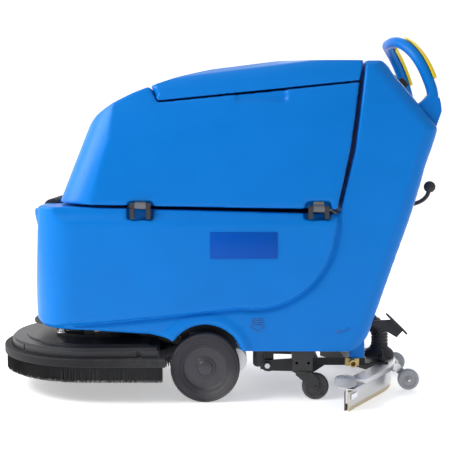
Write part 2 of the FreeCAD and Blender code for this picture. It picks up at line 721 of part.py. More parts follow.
def make_handle():
    """The handle bow on its two shoes, and the two drive paddles on its legs."""
    radius = value("handle_radius")
    points = handle_points(-1) + [Vector(532, 0, 1044)] + handle_points(1)[::-1]
    bow = shape_node("handle_bow", tube(points, radius))
    shoes = []
    for side in (-1, 1):
        shoe = prism("shoe_%d" % (side > 0), "XZ_Plane", [
            on_slope(199, 0, 1.5)[::2],
            (651, 833, 120),
            (644, 874),
            (610, 880, -60),
            on_slope(114, 0, 1.5)[::2],
        ], 38, at="%d * handle_half_width - 19" % side)
        shoes.append(shoe)
    node("handle_bow", fuse("handle_solid", bow, *shoes))
    for side, name in ((-1, "left_paddle"), (1, "right_paddle")):
        grip = tube(handle_points(side, 10)[2:6], radius - 0.5)
        core = tube(handle_points(side, 0)[1:7], radius + 3)
        node(name, shape_node(name, grip.cut(core)))


# ---------------------------------------------------------------- chassis and power

def both_sides(name, maker):
    """A piece built by maker(name, side) on the left and on the right."""
    return [maker(name + "_" + word, side) for word, side in (("left", -1), ("right", 1))]


def make_chassis():
    """The steel frame with its clevises, its axle mount and its pivot pins."""
    def rail(name, side):
        return box(name, (-318, "%d * 150 - 18" % side, 187), (697, 36, 40))

    def arm_ear(name, side):
        return box(name, ("arm_root_x - 13", "%d * (arm_y - 12) - 4" % side, "arm_root_z - 13"),
                   (26, 8, "200 - arm_root_z"))

    def axle_hanger(name, side):
        return box(name, ("wheel_x - 30", "%d * 150 - 6" % side, 122), (120, 12, 67))

    def squeegee_ear(name, side):
        return box(name, ("squeegee_root_x - 20", "%d * (squeegee_arm_y - 10) - 4" % side,
                          "squeegee_root_z - 15"), (40, 8, "205 - squeegee_root_z"))

    def squeegee_stub(name, side):
        low = "squeegee_arm_y - 12" if side > 0 else "-squeegee_arm_y - 12"
        return rod(name, "pin_radius", 24, ("squeegee_root_x", low, "squeegee_root_z"))

    def arm_stub(name, side):
        low = "arm_y - 14" if side > 0 else "-arm_y - 8"
        return rod(name, "pin_radius", 22, ("arm_root_x", low, "arm_root_z"))

    crossbars = [box("crossbar_%d" % index, (x, -150, z), (width, 300, 227 - z))
                 for index, (x, z, width) in enumerate(((-290, 200, 26), (-104, 193, 40),
                                                        (132, 187, 50), (338, 195, 40)))]
    pieces = crossbars + both_sides("rail", rail) + both_sides("arm_ear", arm_ear)
    pieces += both_sides("axle_hanger", axle_hanger) + both_sides("squeegee_ear", squeegee_ear)
    pieces += both_sides("squeegee_stub", squeegee_stub)
    pieces += both_sides("arm_stub", arm_stub)
    pieces.append(rod("link_root_pin", "pin_radius", "2 * arm_y - 18",
                      ("arm_root_x", "-arm_y + 9", "arm_root_z + link_offset_z")))
    pieces.append(rod("pedal_pin", "pin_radius", 60, ("pedal_x", "pedal_y - 12", "pedal_z")))
    pieces.append(box("pedal_ear", ("pedal_x - 12", "pedal_y + 24", "pedal_z - 12"), (24, 10, 36)))
    pieces.append(box("pedal_bar", (395, "pedal_y + 24", "pedal_z + 12"), (32, 96, 12)))
    pieces.append(box("pedal_spine", (370, "pedal_y + 80", "pedal_z + 12"), (30, 40, 12)))
    node("chassis_frame", fuse("chassis_solid", *pieces))

    def bracket(name, side):
        block = box(name + "_block", ("caster_x - 29", "%d * caster_y - 25" % side, 89), (58, 50, 50))
        shelf = box(name + "_shelf", ("caster_x - 32", "%d * 180 - 63" % side, 139), (64, 126, 8))
        web = box(name + "_web", ("caster_x - 32", "%d * 128 - 4" % side, 139), (64, 8, 48))
        bore = rod(name + "_bore", "8 + pin_clearance", 70, ("caster_x", "%d * caster_y" % side, 80), "z")
        bolts = [rod("%s_hole_%d" % (name, step > 0), 4, 40,
                     ("caster_x + %d" % step, "%d * caster_y + 10" % side, 112),
                     "y" if side > 0 else "-y") for step in (-17, 17)]
        return cut(name + "_drilled", fuse(name + "_solid", block, shelf, web), bore, *bolts)

    node("caster_brackets", group("caster_bracket_set", *both_sides("caster_bracket", bracket)))


def make_power():
    """Batteries, their links, the drive gearmotor, the suction motor and the water line."""
    cases, links = [], []
    for row in range(2):
        for column in range(2):
            name = "battery_%d%d" % (row, column)
            low_x, low_y = -212 + 250 * column, -192 + 194 * row
            case = box(name, (low_x, low_y, "bay_floor_z + 0.5"), (246, 190, 262))
            posts = [rod("%s_post_%d" % (name, index), 8, 16,
                         (low_x + 30 + 186 * index, low_y + 95, "bay_floor_z + 262"), "z")
                     for index in range(2)]
            cases.append(fuse(name + "_case", case, *posts))
    for name, low, size in (("row_left", (-1, -107, 517), (70, 22, 5)),
                            ("row_right", (-1, 87, 517), (70, 22, 5)),
                            ("cross", (240, -107, 517), (22, 216, 5))):
        links.append(box("link_" + name, low, size))
    node("battery_pack", group("battery_set", *cases, *links))

    gearbox = rod("gearbox", 46, 120, ("wheel_x", -60, "wheel_radius"))
    tubes = rod("axle_tube", 20, 388, ("wheel_x", -194, "wheel_radius"))
    motor = rod("drive_motor_can", 38, 230, (58, -130, 94))
    mount = box("gearbox_mount", ("wheel_x - 28", -50, 100), (90, 100, 87))
    bore = rod("axle_bore", "10 + pin_clearance", 400, ("wheel_x", -200, "wheel_radius"))
    node("drive_gearmotor", cut("gearmotor_bored", fuse("gearmotor_solid", gearbox, tubes, motor, mount),
                                bore))

    fan = lathe("fan_case", [(0, 0), (66, 0), (66, 52), (48, 60), (44, 128), (0, 132)],
                (480, 0, 562), "z")
    shelf = box("fan_shelf", (402, -120, 554), (142, 335, 8))
    node("suction_motor", fuse("suction_motor_solid", fan, shelf))

    bowl = lathe("filter_bowl", [(0, 0), (12, 0), (17, 8), (17, 44), (22, 46), (22, 56), (0, 56)],
                 (129, -184, 90), "z")
    neck = rod("filter_neck", 8, 40, (129, -184, 146), "z")
    node("water_filter", fuse("filter_solid", bowl, neck))

    valve = fuse("valve_solid", box("valve_block", (386, -176, 88), (40, 26, 22)),
                 rod("valve_spout", 11, 22, (406, -198, 99)))
    outlet = rod("valve_outlet", 7, 34, (406, -200, 99))
    node("drain_valve", cut("valve_bored", valve, outlet))


def make_wheels():
    """Two drive wheels: a solid tyre on a rim whose stub shaft enters the axle tube."""
    for word, side in (("left", -1), ("right", 1)):
        along = "y" if side < 0 else "-y"
        face = ("wheel_x", "%d * wheel_face_y" % side, "wheel_radius")
        tyre = lathe(word + "_tyre_ring", [
            ("rim_radius", 3),
            ("wheel_radius - 8", 0, 14),
            ("wheel_radius", 9),
            ("wheel_radius", "wheel_width - 9", 14),
            ("wheel_radius - 8", "wheel_width"),
            ("rim_radius", "wheel_width - 3"),
        ], face, along)
        node(word + "_tyre", tyre)
        rim = lathe(word + "_rim_disc", [
            (0, -1),
            (24, 2),
            (27, 8),
            (50, 12),
            ("rim_radius - 8", 4),
            ("rim_radius", 4),
            ("rim_radius", "wheel_width - 4"),
            ("rim_radius - 8", "wheel_width - 4"),
            ("rim_radius - 12", 30),
            (24, 30),
            (22, "wheel_width + 8"),
            (10, "wheel_width + 8"),
            (10, "wheel_width + 68"),
            (0, "wheel_width + 68"),
        ], face, along)
        node(word + "_rim", rim)


def make_casters():
    """Two swivel casters: a forged fork with its king pin, and a wheel on a bolt."""
    for word, side in (("left", -1), ("right", 1)):
        middle_y = "%d * caster_y" % side
        wheel_at = "caster_x + caster_trail"
        name = word + "_caster"
        pin = rod(name + "_king_pin", 8, 44, ("caster_x", middle_y, 84), "z")
        disc = rod(name + "_disc", 29, 6, ("caster_x", middle_y, 82), "z")
        cheeks = []
        for step in (-1, 1):
            cheeks.append(prism("%s_cheek_%d" % (name, step > 0), "XZ_Plane", [
                ("caster_x - 20", 76),
                ("%s - 10" % wheel_at, "caster_radius - 4", 12),
                ("%s + 10" % wheel_at, "caster_radius - 4"),
                ("%s + 9" % wheel_at, 62),
                ("caster_x + 27", 84),
                ("caster_x - 20", 84),
            ], 4, at="%s + %d * 19 - 2" % (middle_y, step)))
        bolt = rod(name + "_bolt", 5, 50, (wheel_at, "%s - 25" % middle_y, "caster_radius"))
        node(name + "_fork", fuse(name + "_fork_solid", pin, disc, bolt, *cheeks))
        wheel = lathe(name + "_wheel_disc", [
            ("5 + pin_clearance", 0),
            (14, 0),
            (17, 3),
            (27, 3),
            (29, 1),
            ("caster_radius - 4", 1, 5),
            ("caster_radius", 6),
            ("caster_radius", 22, 5),
            ("caster_radius - 4", 27),
            (29, 27),
            (27, 25),
            (17, 25),
            (14, 28),
            ("5 + pin_clearance", 28),
        ], (wheel_at, "%s - 14" % middle_y, "caster_radius"), "y")
        node(name + "_wheel", wheel)


# ---------------------------------------------------------------- brush deck

def deck_plan(name, radius, rear_x, low_z, height):
    """A round nose with straight sides and a flat rear end, padded upwards."""
    return prism(name, "XY_Plane", [
        ("deck_x", "-(%s)" % radius),
        (rear_x, "-(%s)" % radius),
        (rear_x, radius),
        ("deck_x", radius, "%s + 0.001" % radius),
        ("deck_x - (%s)" % radius, 0, "%s + 0.001" % radius),
    ], height, at=low_z)


def deck_ring(name, outer, inner, outer_rear, inner_rear, low_z, height):
    """A band between two deck outlines."""
    hole = deck_plan(name + "_inner", inner, inner_rear, "%s - 10" % low_z, "%s + 20" % height)
    return cut(name, deck_plan(name + "_outer", outer, outer_rear, low_z, height), hole)


def make_deck():
    """The deck: cover with its motor, skirt band with bristles, disc brush and lifting arms."""
    wall = deck_plan("cover_wall", "cover_radius", "cover_rear_x", "band_top_z - 24",
                     "cover_top_z - band_top_z + 18")
    brow = deck_plan("cover_brow", "cover_radius - 6", "cover_rear_x - 4", "cover_top_z - 7", 7)
    crown = deck_plan("cover_crown", "cover_radius - 44", "cover_rear_x - 26", "cover_top_z - 1", 5)
    tail = rod("cover_tail", "cover_radius", "cover_top_z - band_top_z + 1",
               ("deck_x", 0, "band_top_z - 24"), "z")
    disc = rod("hub_disc", "hub_disc_radius", "hub_disc_top_z - cover_top_z + 6",
               ("deck_x", 0, "cover_top_z - 6"), "z")
    space = rod("brush_space", "brush_radius + 6", 60, ("deck_x", 0, 84), "z")
    shaft_hole = rod("brush_shaft_hole", 16, 60, ("deck_x", 0, 130), "z")
    slots = [box("arm_slot_%d" % (side > 0), (-236, "%d * arm_y - 9" % side, 147), (90, 18, 30))
             for side in (-1, 1)]
    clips = [box("clip_notch_%d" % index, (x, y - 6, 134), (13, 12, 40))
             for index, (x, y) in enumerate(((-222, -266), (-222, 266), (-572, -178), (-572, 178)))]
    node("deck_cover", cut("cover_cut", fuse("cover_solid", wall, brow, crown, tail, disc),
                           space, shaft_hole, *slots, *clips))

    node("skirt_band", deck_ring("band", "skirt_radius", "cover_radius + 0.4", "skirt_rear_x",
                                 "skirt_rear_x + 20", "band_low_z", "band_top_z - band_low_z"))
    node("bristle_skirt", deck_ring("bristles", "skirt_radius - 4", "skirt_radius - 18",
                                    "skirt_rear_x - 5", "skirt_rear_x + 20", "bristle_low_z",
                                    "band_low_z - bristle_low_z"))

    base = box("deck_bracket_base", (-452, -98, "hub_disc_top_z"), (236, 196, 5))
    cheeks = [box("deck_bracket_cheek_%d" % (side > 0),
                  (-392, "%d * (arm_y - 12) - 4" % side, "hub_disc_top_z"),
                  ("arm_tip_x + 14 + 392", 8, "arm_tip_z + 12 - hub_disc_top_z")) for side in (-1, 1)]
    ears = [box("link_ear_%d" % (side > 0), ("arm_tip_x - 14", "%d * 20 - 4" % side, "hub_disc_top_z"),
                (28, 8, "arm_tip_z + link_offset_z + 10 - hub_disc_top_z")) for side in (-1, 1)]
    tip_pin = rod("arm_tip_pin", "pin_radius", "2 * arm_y + 16", ("arm_tip_x", "-arm_y - 8", "arm_tip_z"))
    link_pin = rod("link_tip_pin", "pin_radius", 52,
                   ("arm_tip_x", -26, "arm_tip_z + link_offset_z"))
    hole = rod("bracket_hole", 20, 30, ("deck_x", 0, 160), "z")
    side_plates = [box("deck_bracket_step_%d" % (side > 0),
                       (-392, "%d * 112 - 14" % side, "hub_disc_top_z"), (78, 28, 22))
                   for side in (-1, 1)]
    node("deck_bracket", cut("deck_bracket_cut", fuse("deck_bracket_solid", base, *cheeks, *ears,
                                                      tip_pin, link_pin, *side_plates), hole))
    motor = lathe("brush_motor_can", [(0, -50), (12, -50), (12, 1), (60, 1), (62, 12), (62, 120),
                                      (52, 132), (0, 132)],
                  ("deck_x", 0, "hub_disc_top_z + 5"), "z")
    node("brush_motor", motor)

    plate = lathe("brush_plate_disc", [
        ("12 + pin_clearance", 112),
        ("brush_radius - 6", 112),
        ("brush_radius", 116),
        ("brush_radius", 124),
        ("brush_radius - 30", 130),
        (40, 130),
        (30, 140),
        ("12 + pin_clearance", 140),
    ], ("deck_x", 0, 0), "z")
    node("brush_plate", plate)
    rings = [lathe("bristle_ring_%d" % index, [
        ("brush_radius - %d" % (12 + 44 * index), "bristle_low_z + 2"),
        ("brush_radius - %d" % (14 + 44 * index), 112),
        ("brush_radius - %d" % (46 + 44 * index), 112),
        ("brush_radius - %d" % (48 + 44 * index), "bristle_low_z + 2"),
    ][::-1], ("deck_x", 0, 0), "z") for index in range(4)]
    node("brush_bristles", group("bristle_ring_set", *rings))


def strut(name, low_y, width, start, end, reach, bore):
    """A flat bar with round ends between two pivots of the XZ plane, bored at both."""
    (x0, z0), (x1, z1) = start, end
    length = "sqrt((%s - (%s))^2 + (%s - (%s))^2)" % (x1, x0, z1, z0)
    angle = math.degrees(math.atan2(value("%s - (%s)" % (z1, z0)), value("%s - (%s)" % (x1, x0))))
    bar = box(name + "_bar", (x0, low_y, z0), (length, width, "2 * (%s)" % reach),
              Rotation(Vector(0, 1, 0), -angle))
    drop = Rotation(Vector(0, 1, 0), -angle).multVec(Vector(0, 0, -value(reach)))
    put(bar, "%s + (%s)" % (x0, drop.x), low_y, "%s + (%s)" % (z0, drop.z),
        turn=Rotation(Vector(0, 1, 0), -angle))
    eyes = [rod("%s_eye_%d" % (name, index), reach, width, (x, low_y, z))
            for index, (x, z) in enumerate((start, end))]
    bores = [rod("%s_bore_%d" % (name, index), bore, "%s + 2" % width, (x, "%s - 1" % low_y, z))
             for index, (x, z) in enumerate((start, end))]
    return cut(name, fuse(name + "_solid", bar, *eyes), *bores)


def make_deck_arms():
    """Two arms joined by a tube, the levelling link above them, and the foot pedal."""
    bore = "pin_radius + pin_clearance"
    root, tip = ("arm_root_x", "arm_root_z"), ("arm_tip_x", "arm_tip_z")
    bars = [strut("deck_arm_%d" % (side > 0), "%d * arm_y - 4" % side, 8, root, tip, 10, bore)
            for side in (-1, 1)]
    tie = rod("arm_tie", 5, "2 * arm_y", ("(arm_root_x + arm_tip_x) / 2 + 30", "-arm_y",
                                          "(arm_root_z + arm_tip_z) / 2 - 8"))
    node("deck_lift_arm", fuse("deck_arm_pair", *bars, tie))
    node("deck_link", strut("level_link", -8, 16, (root[0], root[1] + " + link_offset_z"),
                            (tip[0], tip[1] + " + link_offset_z"), 10, bore))

    hub = rod("pedal_hub", 13, 20, ("pedal_x", "pedal_y - 10", "pedal_z"))
    bar = prism("pedal_bar_side", "XZ_Plane", [
        ("pedal_x", "pedal_z - 8"),
        (484, 198),
        (545, 163),
        (563, 183),
        (531, 215),
        ("pedal_x", "pedal_z + 8"),
    ], 14, at="pedal_y - 7")
    plate = prism("pedal_plate", "XZ_Plane", [
        (519, 224),
        (566, 179),
        (570, 183),
        (523, 228),
    ], 96, at="pedal_y - 48")
    pin_bore = rod("pedal_bore", bore, 40, ("pedal_x", "pedal_y - 20", "pedal_z"))
    node("deck_pedal", cut("pedal_bored", fuse("pedal_solid", hub, bar, plate), pin_bore))


# ---------------------------------------------------------------- squeegee

def blade_strip(name, inner, outer, low_z, height):
    """A band that follows the blade line: a bow in the middle and two straight wings."""
    centre = "(squeegee_apex_x - squeegee_bow)"
    wing = "((squeegee_half_width - squeegee_bow * sin(squeegee_sweep)) / cos(squeegee_sweep))"

    def corners(offset):
        radius = "(squeegee_bow + %s)" % offset
        bend = ("%s + %s * cos(squeegee_sweep)" % (centre, radius), "%s * sin(squeegee_sweep)" % radius)
        tip = ("%s - %s * sin(squeegee_sweep)" % (bend[0], wing),
               "%s + %s * cos(squeegee_sweep)" % (bend[1], wing))
        return radius, bend, tip

    outer_radius, outer_bend, outer_tip = corners(outer)
    inner_radius, inner_bend, inner_tip = corners(inner)
    return prism(name, "XY_Plane", [
        (outer_tip[0], "-(%s)" % outer_tip[1]),
        (outer_bend[0], "-(%s)" % outer_bend[1], outer_radius),
        outer_bend,
        outer_tip,
        inner_tip,
        (inner_bend[0], inner_bend[1], "-" + inner_radius),
        (inner_bend[0], "-(%s)" % inner_bend[1]),
        (inner_tip[0], "-(%s)" % inner_tip[1]),
    ], height, at=low_z)


def make_squeegee():
    """The squeegee: casting, blades, strap and latch, neck, knobs, wheels and rollers."""
    deck = blade_strip("casting_deck", -27, 21, 62, "casting_top_z - 62")
    keel = blade_strip("casting_keel", -3, 3, 22, 41)
    thin = [box("tip_thinning_%d" % (side > 0), (300, "%d * 340 - 52" % side, 65), (140, 104, 20))
            for side in (-1, 1)]
    lugs = []
    for side in (-1, 1):
        lugs.append(prism("wheel_lug_%d" % (side > 0), "XZ_Plane", [
            (500, 62),
            (540, 59),
            (579, 24),
            (592, 26),
            (592, 40),
            (560, 74),
            (500, 74),
        ], 5, at="%d * 96 - 2.5" % side))
    neck_hole = rod("neck_hole", 24, 60, (514, 0, 50), "z")
    stud_holes = [rod("stud_hole_%d" % (side > 0), 5.1, 60, (508, "%d * 80" % side, 50), "z")
                  for side in (-1, 1)]
    axle_holes = rod("lug_axle_hole", 4, 260, (584, -130, "squeegee_wheel_radius + 0.5"))
    roller_holes = [rod("roller_hole_%d" % (side > 0), 4, 40, (367, "%d * 328" % side, 50), "z")
                    for side in (-1, 1)]
    node("squeegee_casting", cut("casting_cut", fuse("casting_solid", deck, keel, *lugs),
                                 neck_hole, axle_holes, *thin, *stud_holes, *roller_holes))
    axles = [rod("squeegee_axle_%d" % (side > 0), "4 - pin_clearance", 42,
                 (584, "%d * 111 - 21" % side, "squeegee_wheel_radius + 0.5")) for side in (-1, 1)]
    posts = [rod("roller_post_%d" % (side > 0), "4 - pin_clearance", 42, (367, "%d * 328" % side, 56), "z")
             for side in (-1, 1)]
    node("squeegee_axles", group("squeegee_axle_set", *axles, *posts))
    node("front_blade", blade_strip("front_blade_strip", -7.3, -3.3, 0.5, 55))
    node("rear_blade", blade_strip("rear_blade_strip", 3.3, 7.3, 0, 56))
    node("blade_strap", blade_strip("blade_strap_strip", 7.5, 9.3, 13, 41))
    neck = lathe("neck_dome", [
        (20, 0),
        (45, 0),
        (45, 8, 22),
        (32, 28),
        ("hose_radius - 1", 34),
        ("hose_radius - 1", 44),
        (20, 44),
    ], (514, 0, "casting_top_z"), "z")
    node("suction_neck", neck)
    for word, side in (("left", -1), ("right", 1)):
        y = "%d * 80" % side
        stud = rod(word + "_knob_stud", 5, 44, (508, y, 58), "z")
        head = rod(word + "_knob_head", 11, 12, (508, y, 83), "z")
        wing = box(word + "_knob_wing", (506, "%s - 20" % y, 94), (5, 40, 22))
        node(word + "_squeegee_knob", fuse(word + "_knob_solid", stud, head, wing))
        wheel = lathe(word + "_squeegee_wheel_disc", [
            (4, 0),
            (12, 0),
            (14, 3),
            (22, 3),
            ("squeegee_wheel_radius - 4", 0, 5),
            ("squeegee_wheel_radius", 5),
            ("squeegee_wheel_radius", 17, 5),
            ("squeegee_wheel_radius - 4", 22),
            (22, 19),
            (14, 19),
            (12, 22),
            (4, 22),
        ], (584, "%d * 114 - 11" % side, "squeegee_wheel_radius + 0.5"), "y")
        node(word + "_squeegee_wheel", wheel)
        roller = lathe(word + "_bumper_disc", [
            (4, 0),
            (11, 0),
            (13, 2),
            (20, 2),
            ("roller_radius - 4", 0, 6),
            ("roller_radius", 6),
            ("roller_radius", 20, 6),
            ("roller_radius - 4", 26),
            (20, 24),
            (13, 24),
            (11, 26),
            (4, 26),
        ], (367, "%d * 328" % side, 67), "z")
        node(word + "_bumper_roller", roller)
    sweep = value("squeegee_sweep")
    along = Vector(math.sin(math.radians(sweep)), math.cos(math.radians(sweep)), 0)
    outwards = Vector(along.y, -along.x, 0)
    tip_x = value("squeegee_apex_x + squeegee_bow * (1 / cos(squeegee_sweep) - 1)"
                  " - squeegee_half_width * tan(squeegee_sweep)")
    corner = Vector(tip_x, -value("squeegee_half_width"), 32) + outwards * 13 + along * 8
    latch = box("latch_plate", tuple(corner), (36, 3.2, 16), Rotation(Vector(0, 0, 1), 90 - sweep))
    node("strap_latch", latch)


def make_squeegee_arm():
    """The arm that carries the squeegee, the lever that lifts it, and the suction hose."""
    bore = "pin_radius + pin_clearance"
    cheeks = [prism("squeegee_cheek_%d" % (side > 0), "XZ_Plane", [
        ("squeegee_root_x - 14", "squeegee_root_z - 14", 30),
        ("squeegee_root_x + 14", "squeegee_root_z - 18"),
        (300, 56),
        (330, "casting_top_z + 0.5"),
        (452, "casting_top_z + 0.5"),
        (452, 99),
        (270, 99),
        ("squeegee_root_x - 10", "squeegee_root_z + 14", 20),
    ], 6, at="%d * squeegee_arm_y - 3" % side) for side in (-1, 1)]
    floor = box("squeegee_arm_floor", (400, "-squeegee_arm_y", "casting_top_z + 0.5"),
                (68, "2 * squeegee_arm_y", 5))
    brace = box("squeegee_arm_brace", (290, "-squeegee_arm_y", 80), (24, "2 * squeegee_arm_y", 12))
    fingers = [box("squeegee_finger_%d" % (side > 0), (460, "%d * 80 - 20" % side, "casting_top_z + 0.5"),
                   (66, 40, 5)) for side in (-1, 1)]
    holes = [rod("finger_hole_%d" % (side > 0), 5.1, 40, (508, "%d * 80" % side, 60), "z")
             for side in (-1, 1)]
    pivots = rod("squeegee_pivot_bore", bore, "2 * squeegee_arm_y + 40",
                 ("squeegee_root_x", "-squeegee_arm_y - 20", "squeegee_root_z"))
    node("squeegee_arm", cut("squeegee_arm_cut", fuse("squeegee_arm_solid", *cheeks, floor, brace,
                                                      *fingers), pivots, *holes))

    hub = rod("lever_hub", 13, 14, ("lever_x", "lever_y - 7", "lever_z"))
    points = [("lever_x + 4", "lever_z"), ("lever_x + 58", "lever_z + 3"),
              ("lever_x + 82", "lever_z + 18"), ("lever_x + 92", "lever_z + 46")]
    stem = tube([Vector(value(x), value("lever_y"), value(z)) for x, z in points], 6)
    stem = shape_node("lever_stem", stem)
    knob = ball("lever_ball", 17, ("lever_x + 94", "lever_y", "lever_z + 50"))
    lever_bore = rod("lever_bore", bore, 30, ("lever_x", "lever_y - 15", "lever_z"))
    node("squeegee_lever", cut("lever_cut", fuse("lever_solid", hub, stem, knob), lever_bore))
    ears = [prism("lever_ear_%d" % (side > 0), "XZ_Plane", [
        ("lever_x - 13", "lever_z - 13"),
        ("lever_x + 12", "lever_z - 13"),
        ("lever_x + 19", "lever_z + 13"),
        ("lever_x - 13", "lever_z + 13"),
    ], 4, at="lever_y + %d * 13 - 2" % side) for side in (-1, 1)]
    back = box("lever_bracket_back", ("lever_x - 33", "lever_y - 15", "lever_z - 13"), (6, 30, 26))
    bridge = [box("lever_bridge_%d" % (side > 0), ("lever_x - 30", "lever_y + %d * 13 - 2" % side,
                                                   "lever_z - 13"), (20, 4, 26)) for side in (-1, 1)]
    pin = rod("lever_pin", "pin_radius", 34, ("lever_x", "lever_y - 17", "lever_z"))
    node("lever_bracket", fuse("lever_bracket_solid", *ears, *bridge, back, pin))

    radius = value("hose_radius")
    bottom, knee, top = Vector(514, 0, 120.3), Vector(514, 0, 172), Vector(448, 0, 204)
    bend = 36
    turn_angle = (knee - bottom).getAngle(top - knee)
    trim = bend * math.tan(turn_angle / 2)
    first = knee + (bottom - knee).normalize() * trim
    last = knee + (top - knee).normalize() * trim
    inward = ((bottom - knee).normalize() + (top - knee).normalize()).normalize()
    crown = knee + inward * (bend / math.cos(turn_angle / 2) - bend)
    path = Part.Wire([Part.makeLine(bottom, first), Part.Arc(first, crown, last).toShape(),
                      Part.makeLine(last, top)])
    outer = path.makePipeShell([Part.Wire([Part.makeCircle(radius, bottom)])], True, True)
    inner = path.makePipeShell([Part.Wire([Part.makeCircle(radius - 4, bottom)])], True, True)
    node("suction_hose", shape_node("suction_hose", outer.cut(inner)))


def make_fasteners():
    """Hexagon bolt heads on the pivots of the squeegee arm and of the deck arms."""
    heads = []
    for word, x, y, z in (("squeegee_pivot", "squeegee_root_x", "squeegee_arm_y + 12.2",
                           "squeegee_root_z"), ("deck_root", "arm_root_x", "arm_y + 8.2", "arm_root_z")):
        for side in (-1, 1):
            head = document.addObject("Part::Prism", "%s_head_%d" % (word, side > 0))
            head.Polygon = 6
            bind(head, Circumradius=9, Height=5)
            put(head, x, "%d * (%s)" % (side, y), z, turn=ALONG["y" if side > 0 else "-y"])
            heads.append(head)
    node("pivot_bolts", group("pivot_bolt_set", *heads))


fill_sheet()
section = make_upper_section()
make_base_shell()
make_front_fittings()
make_recovery_tank(section)
make_lid(section)
make_tank_hinges()
make_tank_inside()
make_controls()
make_handle()
make_chassis()
make_power()
make_wheels()
make_casters()
make_deck()
make_deck_arms()
make_squeegee()
make_squeegee_arm()
make_fasteners()
document.recompute()


def broken(item):
    """Whether an object failed."""
    return "Invalid" in item.State or "Error" in item.State


faults = [item.Name for item in document.Objects if broken(item)]
faults += [name for name, item in nodes.items() if item.Shape.isNull() or not item.Shape.isValid()]
if faults:
    raise RuntimeError("not built: " + ", ".join(faults))
os.makedirs("parts", exist_ok=True)
for name, item in sorted(nodes.items()):
    item.Shape.exportStep("parts/%s.step" % name)
    print(name, len(item.Shape.Solids), round(item.Shape.Volume / 1e6, 3))
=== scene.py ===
"""Walk-behind floor scrubber: its looks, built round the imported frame, as a Blender add-on.

Run as a script it makes every piece, the stage and the camera. All lengths are in metres, in the
frame's axes: +X to the operator, -X to the brush deck, +Y to the machine's right, +Z up.
"""
import json
import math
import random

import bmesh
import bpy
import numpy as np
from bpy.props import FloatProperty, FloatVectorProperty, IntProperty, PointerProperty
from bpy.types import Operator, Panel, PropertyGroup
from mathutils import Matrix, Vector


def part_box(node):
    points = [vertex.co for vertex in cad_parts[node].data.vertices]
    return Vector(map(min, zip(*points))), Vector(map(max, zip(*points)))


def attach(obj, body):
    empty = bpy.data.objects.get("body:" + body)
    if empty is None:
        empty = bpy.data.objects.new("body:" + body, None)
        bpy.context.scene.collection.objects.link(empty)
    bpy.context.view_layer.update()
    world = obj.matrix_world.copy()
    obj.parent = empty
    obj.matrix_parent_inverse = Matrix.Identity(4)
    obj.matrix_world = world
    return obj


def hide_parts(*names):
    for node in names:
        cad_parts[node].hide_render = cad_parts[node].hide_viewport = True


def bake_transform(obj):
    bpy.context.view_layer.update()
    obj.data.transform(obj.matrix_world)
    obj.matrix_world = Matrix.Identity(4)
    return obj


bl_info = {
    "name": "Floor Scrubber",
    "version": (1, 0, 0),
    "blender": (4, 5, 0),
    "location": "View3D > Sidebar > Scrubber",
    "description": "Builds a walk-behind floor scrubber piece by piece around its packed frame",
    "category": "Add Mesh",
}

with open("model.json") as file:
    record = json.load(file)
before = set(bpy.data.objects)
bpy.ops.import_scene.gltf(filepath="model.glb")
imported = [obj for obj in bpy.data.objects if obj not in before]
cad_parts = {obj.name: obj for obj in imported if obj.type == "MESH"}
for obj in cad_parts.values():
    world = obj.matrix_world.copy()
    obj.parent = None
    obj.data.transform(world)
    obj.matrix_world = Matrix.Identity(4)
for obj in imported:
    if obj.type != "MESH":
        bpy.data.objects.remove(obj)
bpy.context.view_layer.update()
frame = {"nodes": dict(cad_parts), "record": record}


# ---------------------------------------------------------------- settings

class ScrubberColours(PropertyGroup):
    """The colours of the machine's finishes."""

    blue: FloatVectorProperty(
        name="Blue", description="Rotomoulded tanks, lid and handle", subtype="COLOR",
        default=(0.0, 0.185, 0.64), min=0.0, max=1.0)
    label_blue: FloatVectorProperty(
        name="Label blue", description="Plain label plates on the sides", subtype="COLOR",
        default=(0.0, 0.080, 0.45), min=0.0, max=1.0)
    black: FloatVectorProperty(
        name="Black plastic", description="Deck cover, caps and brackets", subtype="COLOR",
        default=(0.018, 0.018, 0.021), min=0.0, max=1.0)
    rubber: FloatVectorProperty(
        name="Grey rubber", description="Drive tyres and caster wheels", subtype="COLOR",
        default=(0.036, 0.034, 0.042), min=0.0, max=1.0)
    light_rubber: FloatVectorProperty(
        name="Light grey rubber", description="Squeegee wheels and rollers", subtype="COLOR",
        default=(0.34, 0.35, 0.38), min=0.0, max=1.0)
    yellow: FloatVectorProperty(
        name="Yellow", description="Drive paddles", subtype="COLOR",
        default=(0.9, 0.66, 0.01), min=0.0, max=1.0)
    tan: FloatVectorProperty(
        name="Blade tan", description="Rear squeegee blade", subtype="COLOR",
        default=(0.62, 0.53, 0.36), min=0.0, max=1.0)


class ScrubberSizes(PropertyGroup):
    """The sizes a user may want to change."""

    shell_voxel: FloatProperty(
        name="Shell grid", description="Grid of the moulded shells' mesh", default=0.0045,
        min=0.002, max=0.02, unit="LENGTH")
    lid_voxel: FloatProperty(
        name="Lid grid", description="Grid of the lid's mesh, whose walls are thinner",
        default=0.0024, min=0.0015, max=0.02, unit="LENGTH")
    edge_soften: IntProperty(
        name="Edge softening", description="Smoothing passes over the moulded edges", default=7,
        min=0, max=40)
    column_corner: FloatProperty(
        name="Column corner", description="Radius of the column's upright rear corners",
        default=0.046, min=0.005, max=0.1, unit="LENGTH")
    lid_corner: FloatProperty(
        name="Lid corner", description="Radius of the lid's corners seen from above",
        default=0.024, min=0.005, max=0.1, unit="LENGTH")
    bristle_tufts: IntProperty(
        name="Bristle tufts", description="Tufts round the deck's skirt, in each row",
        default=620, min=50, max=2000)
    hose_ring_pitch: FloatProperty(
        name="Hose ring pitch", description="Distance between the rings of the suction hose",
        default=0.0085, min=0.003, max=0.05, unit="LENGTH")


# ---------------------------------------------------------------- finishes

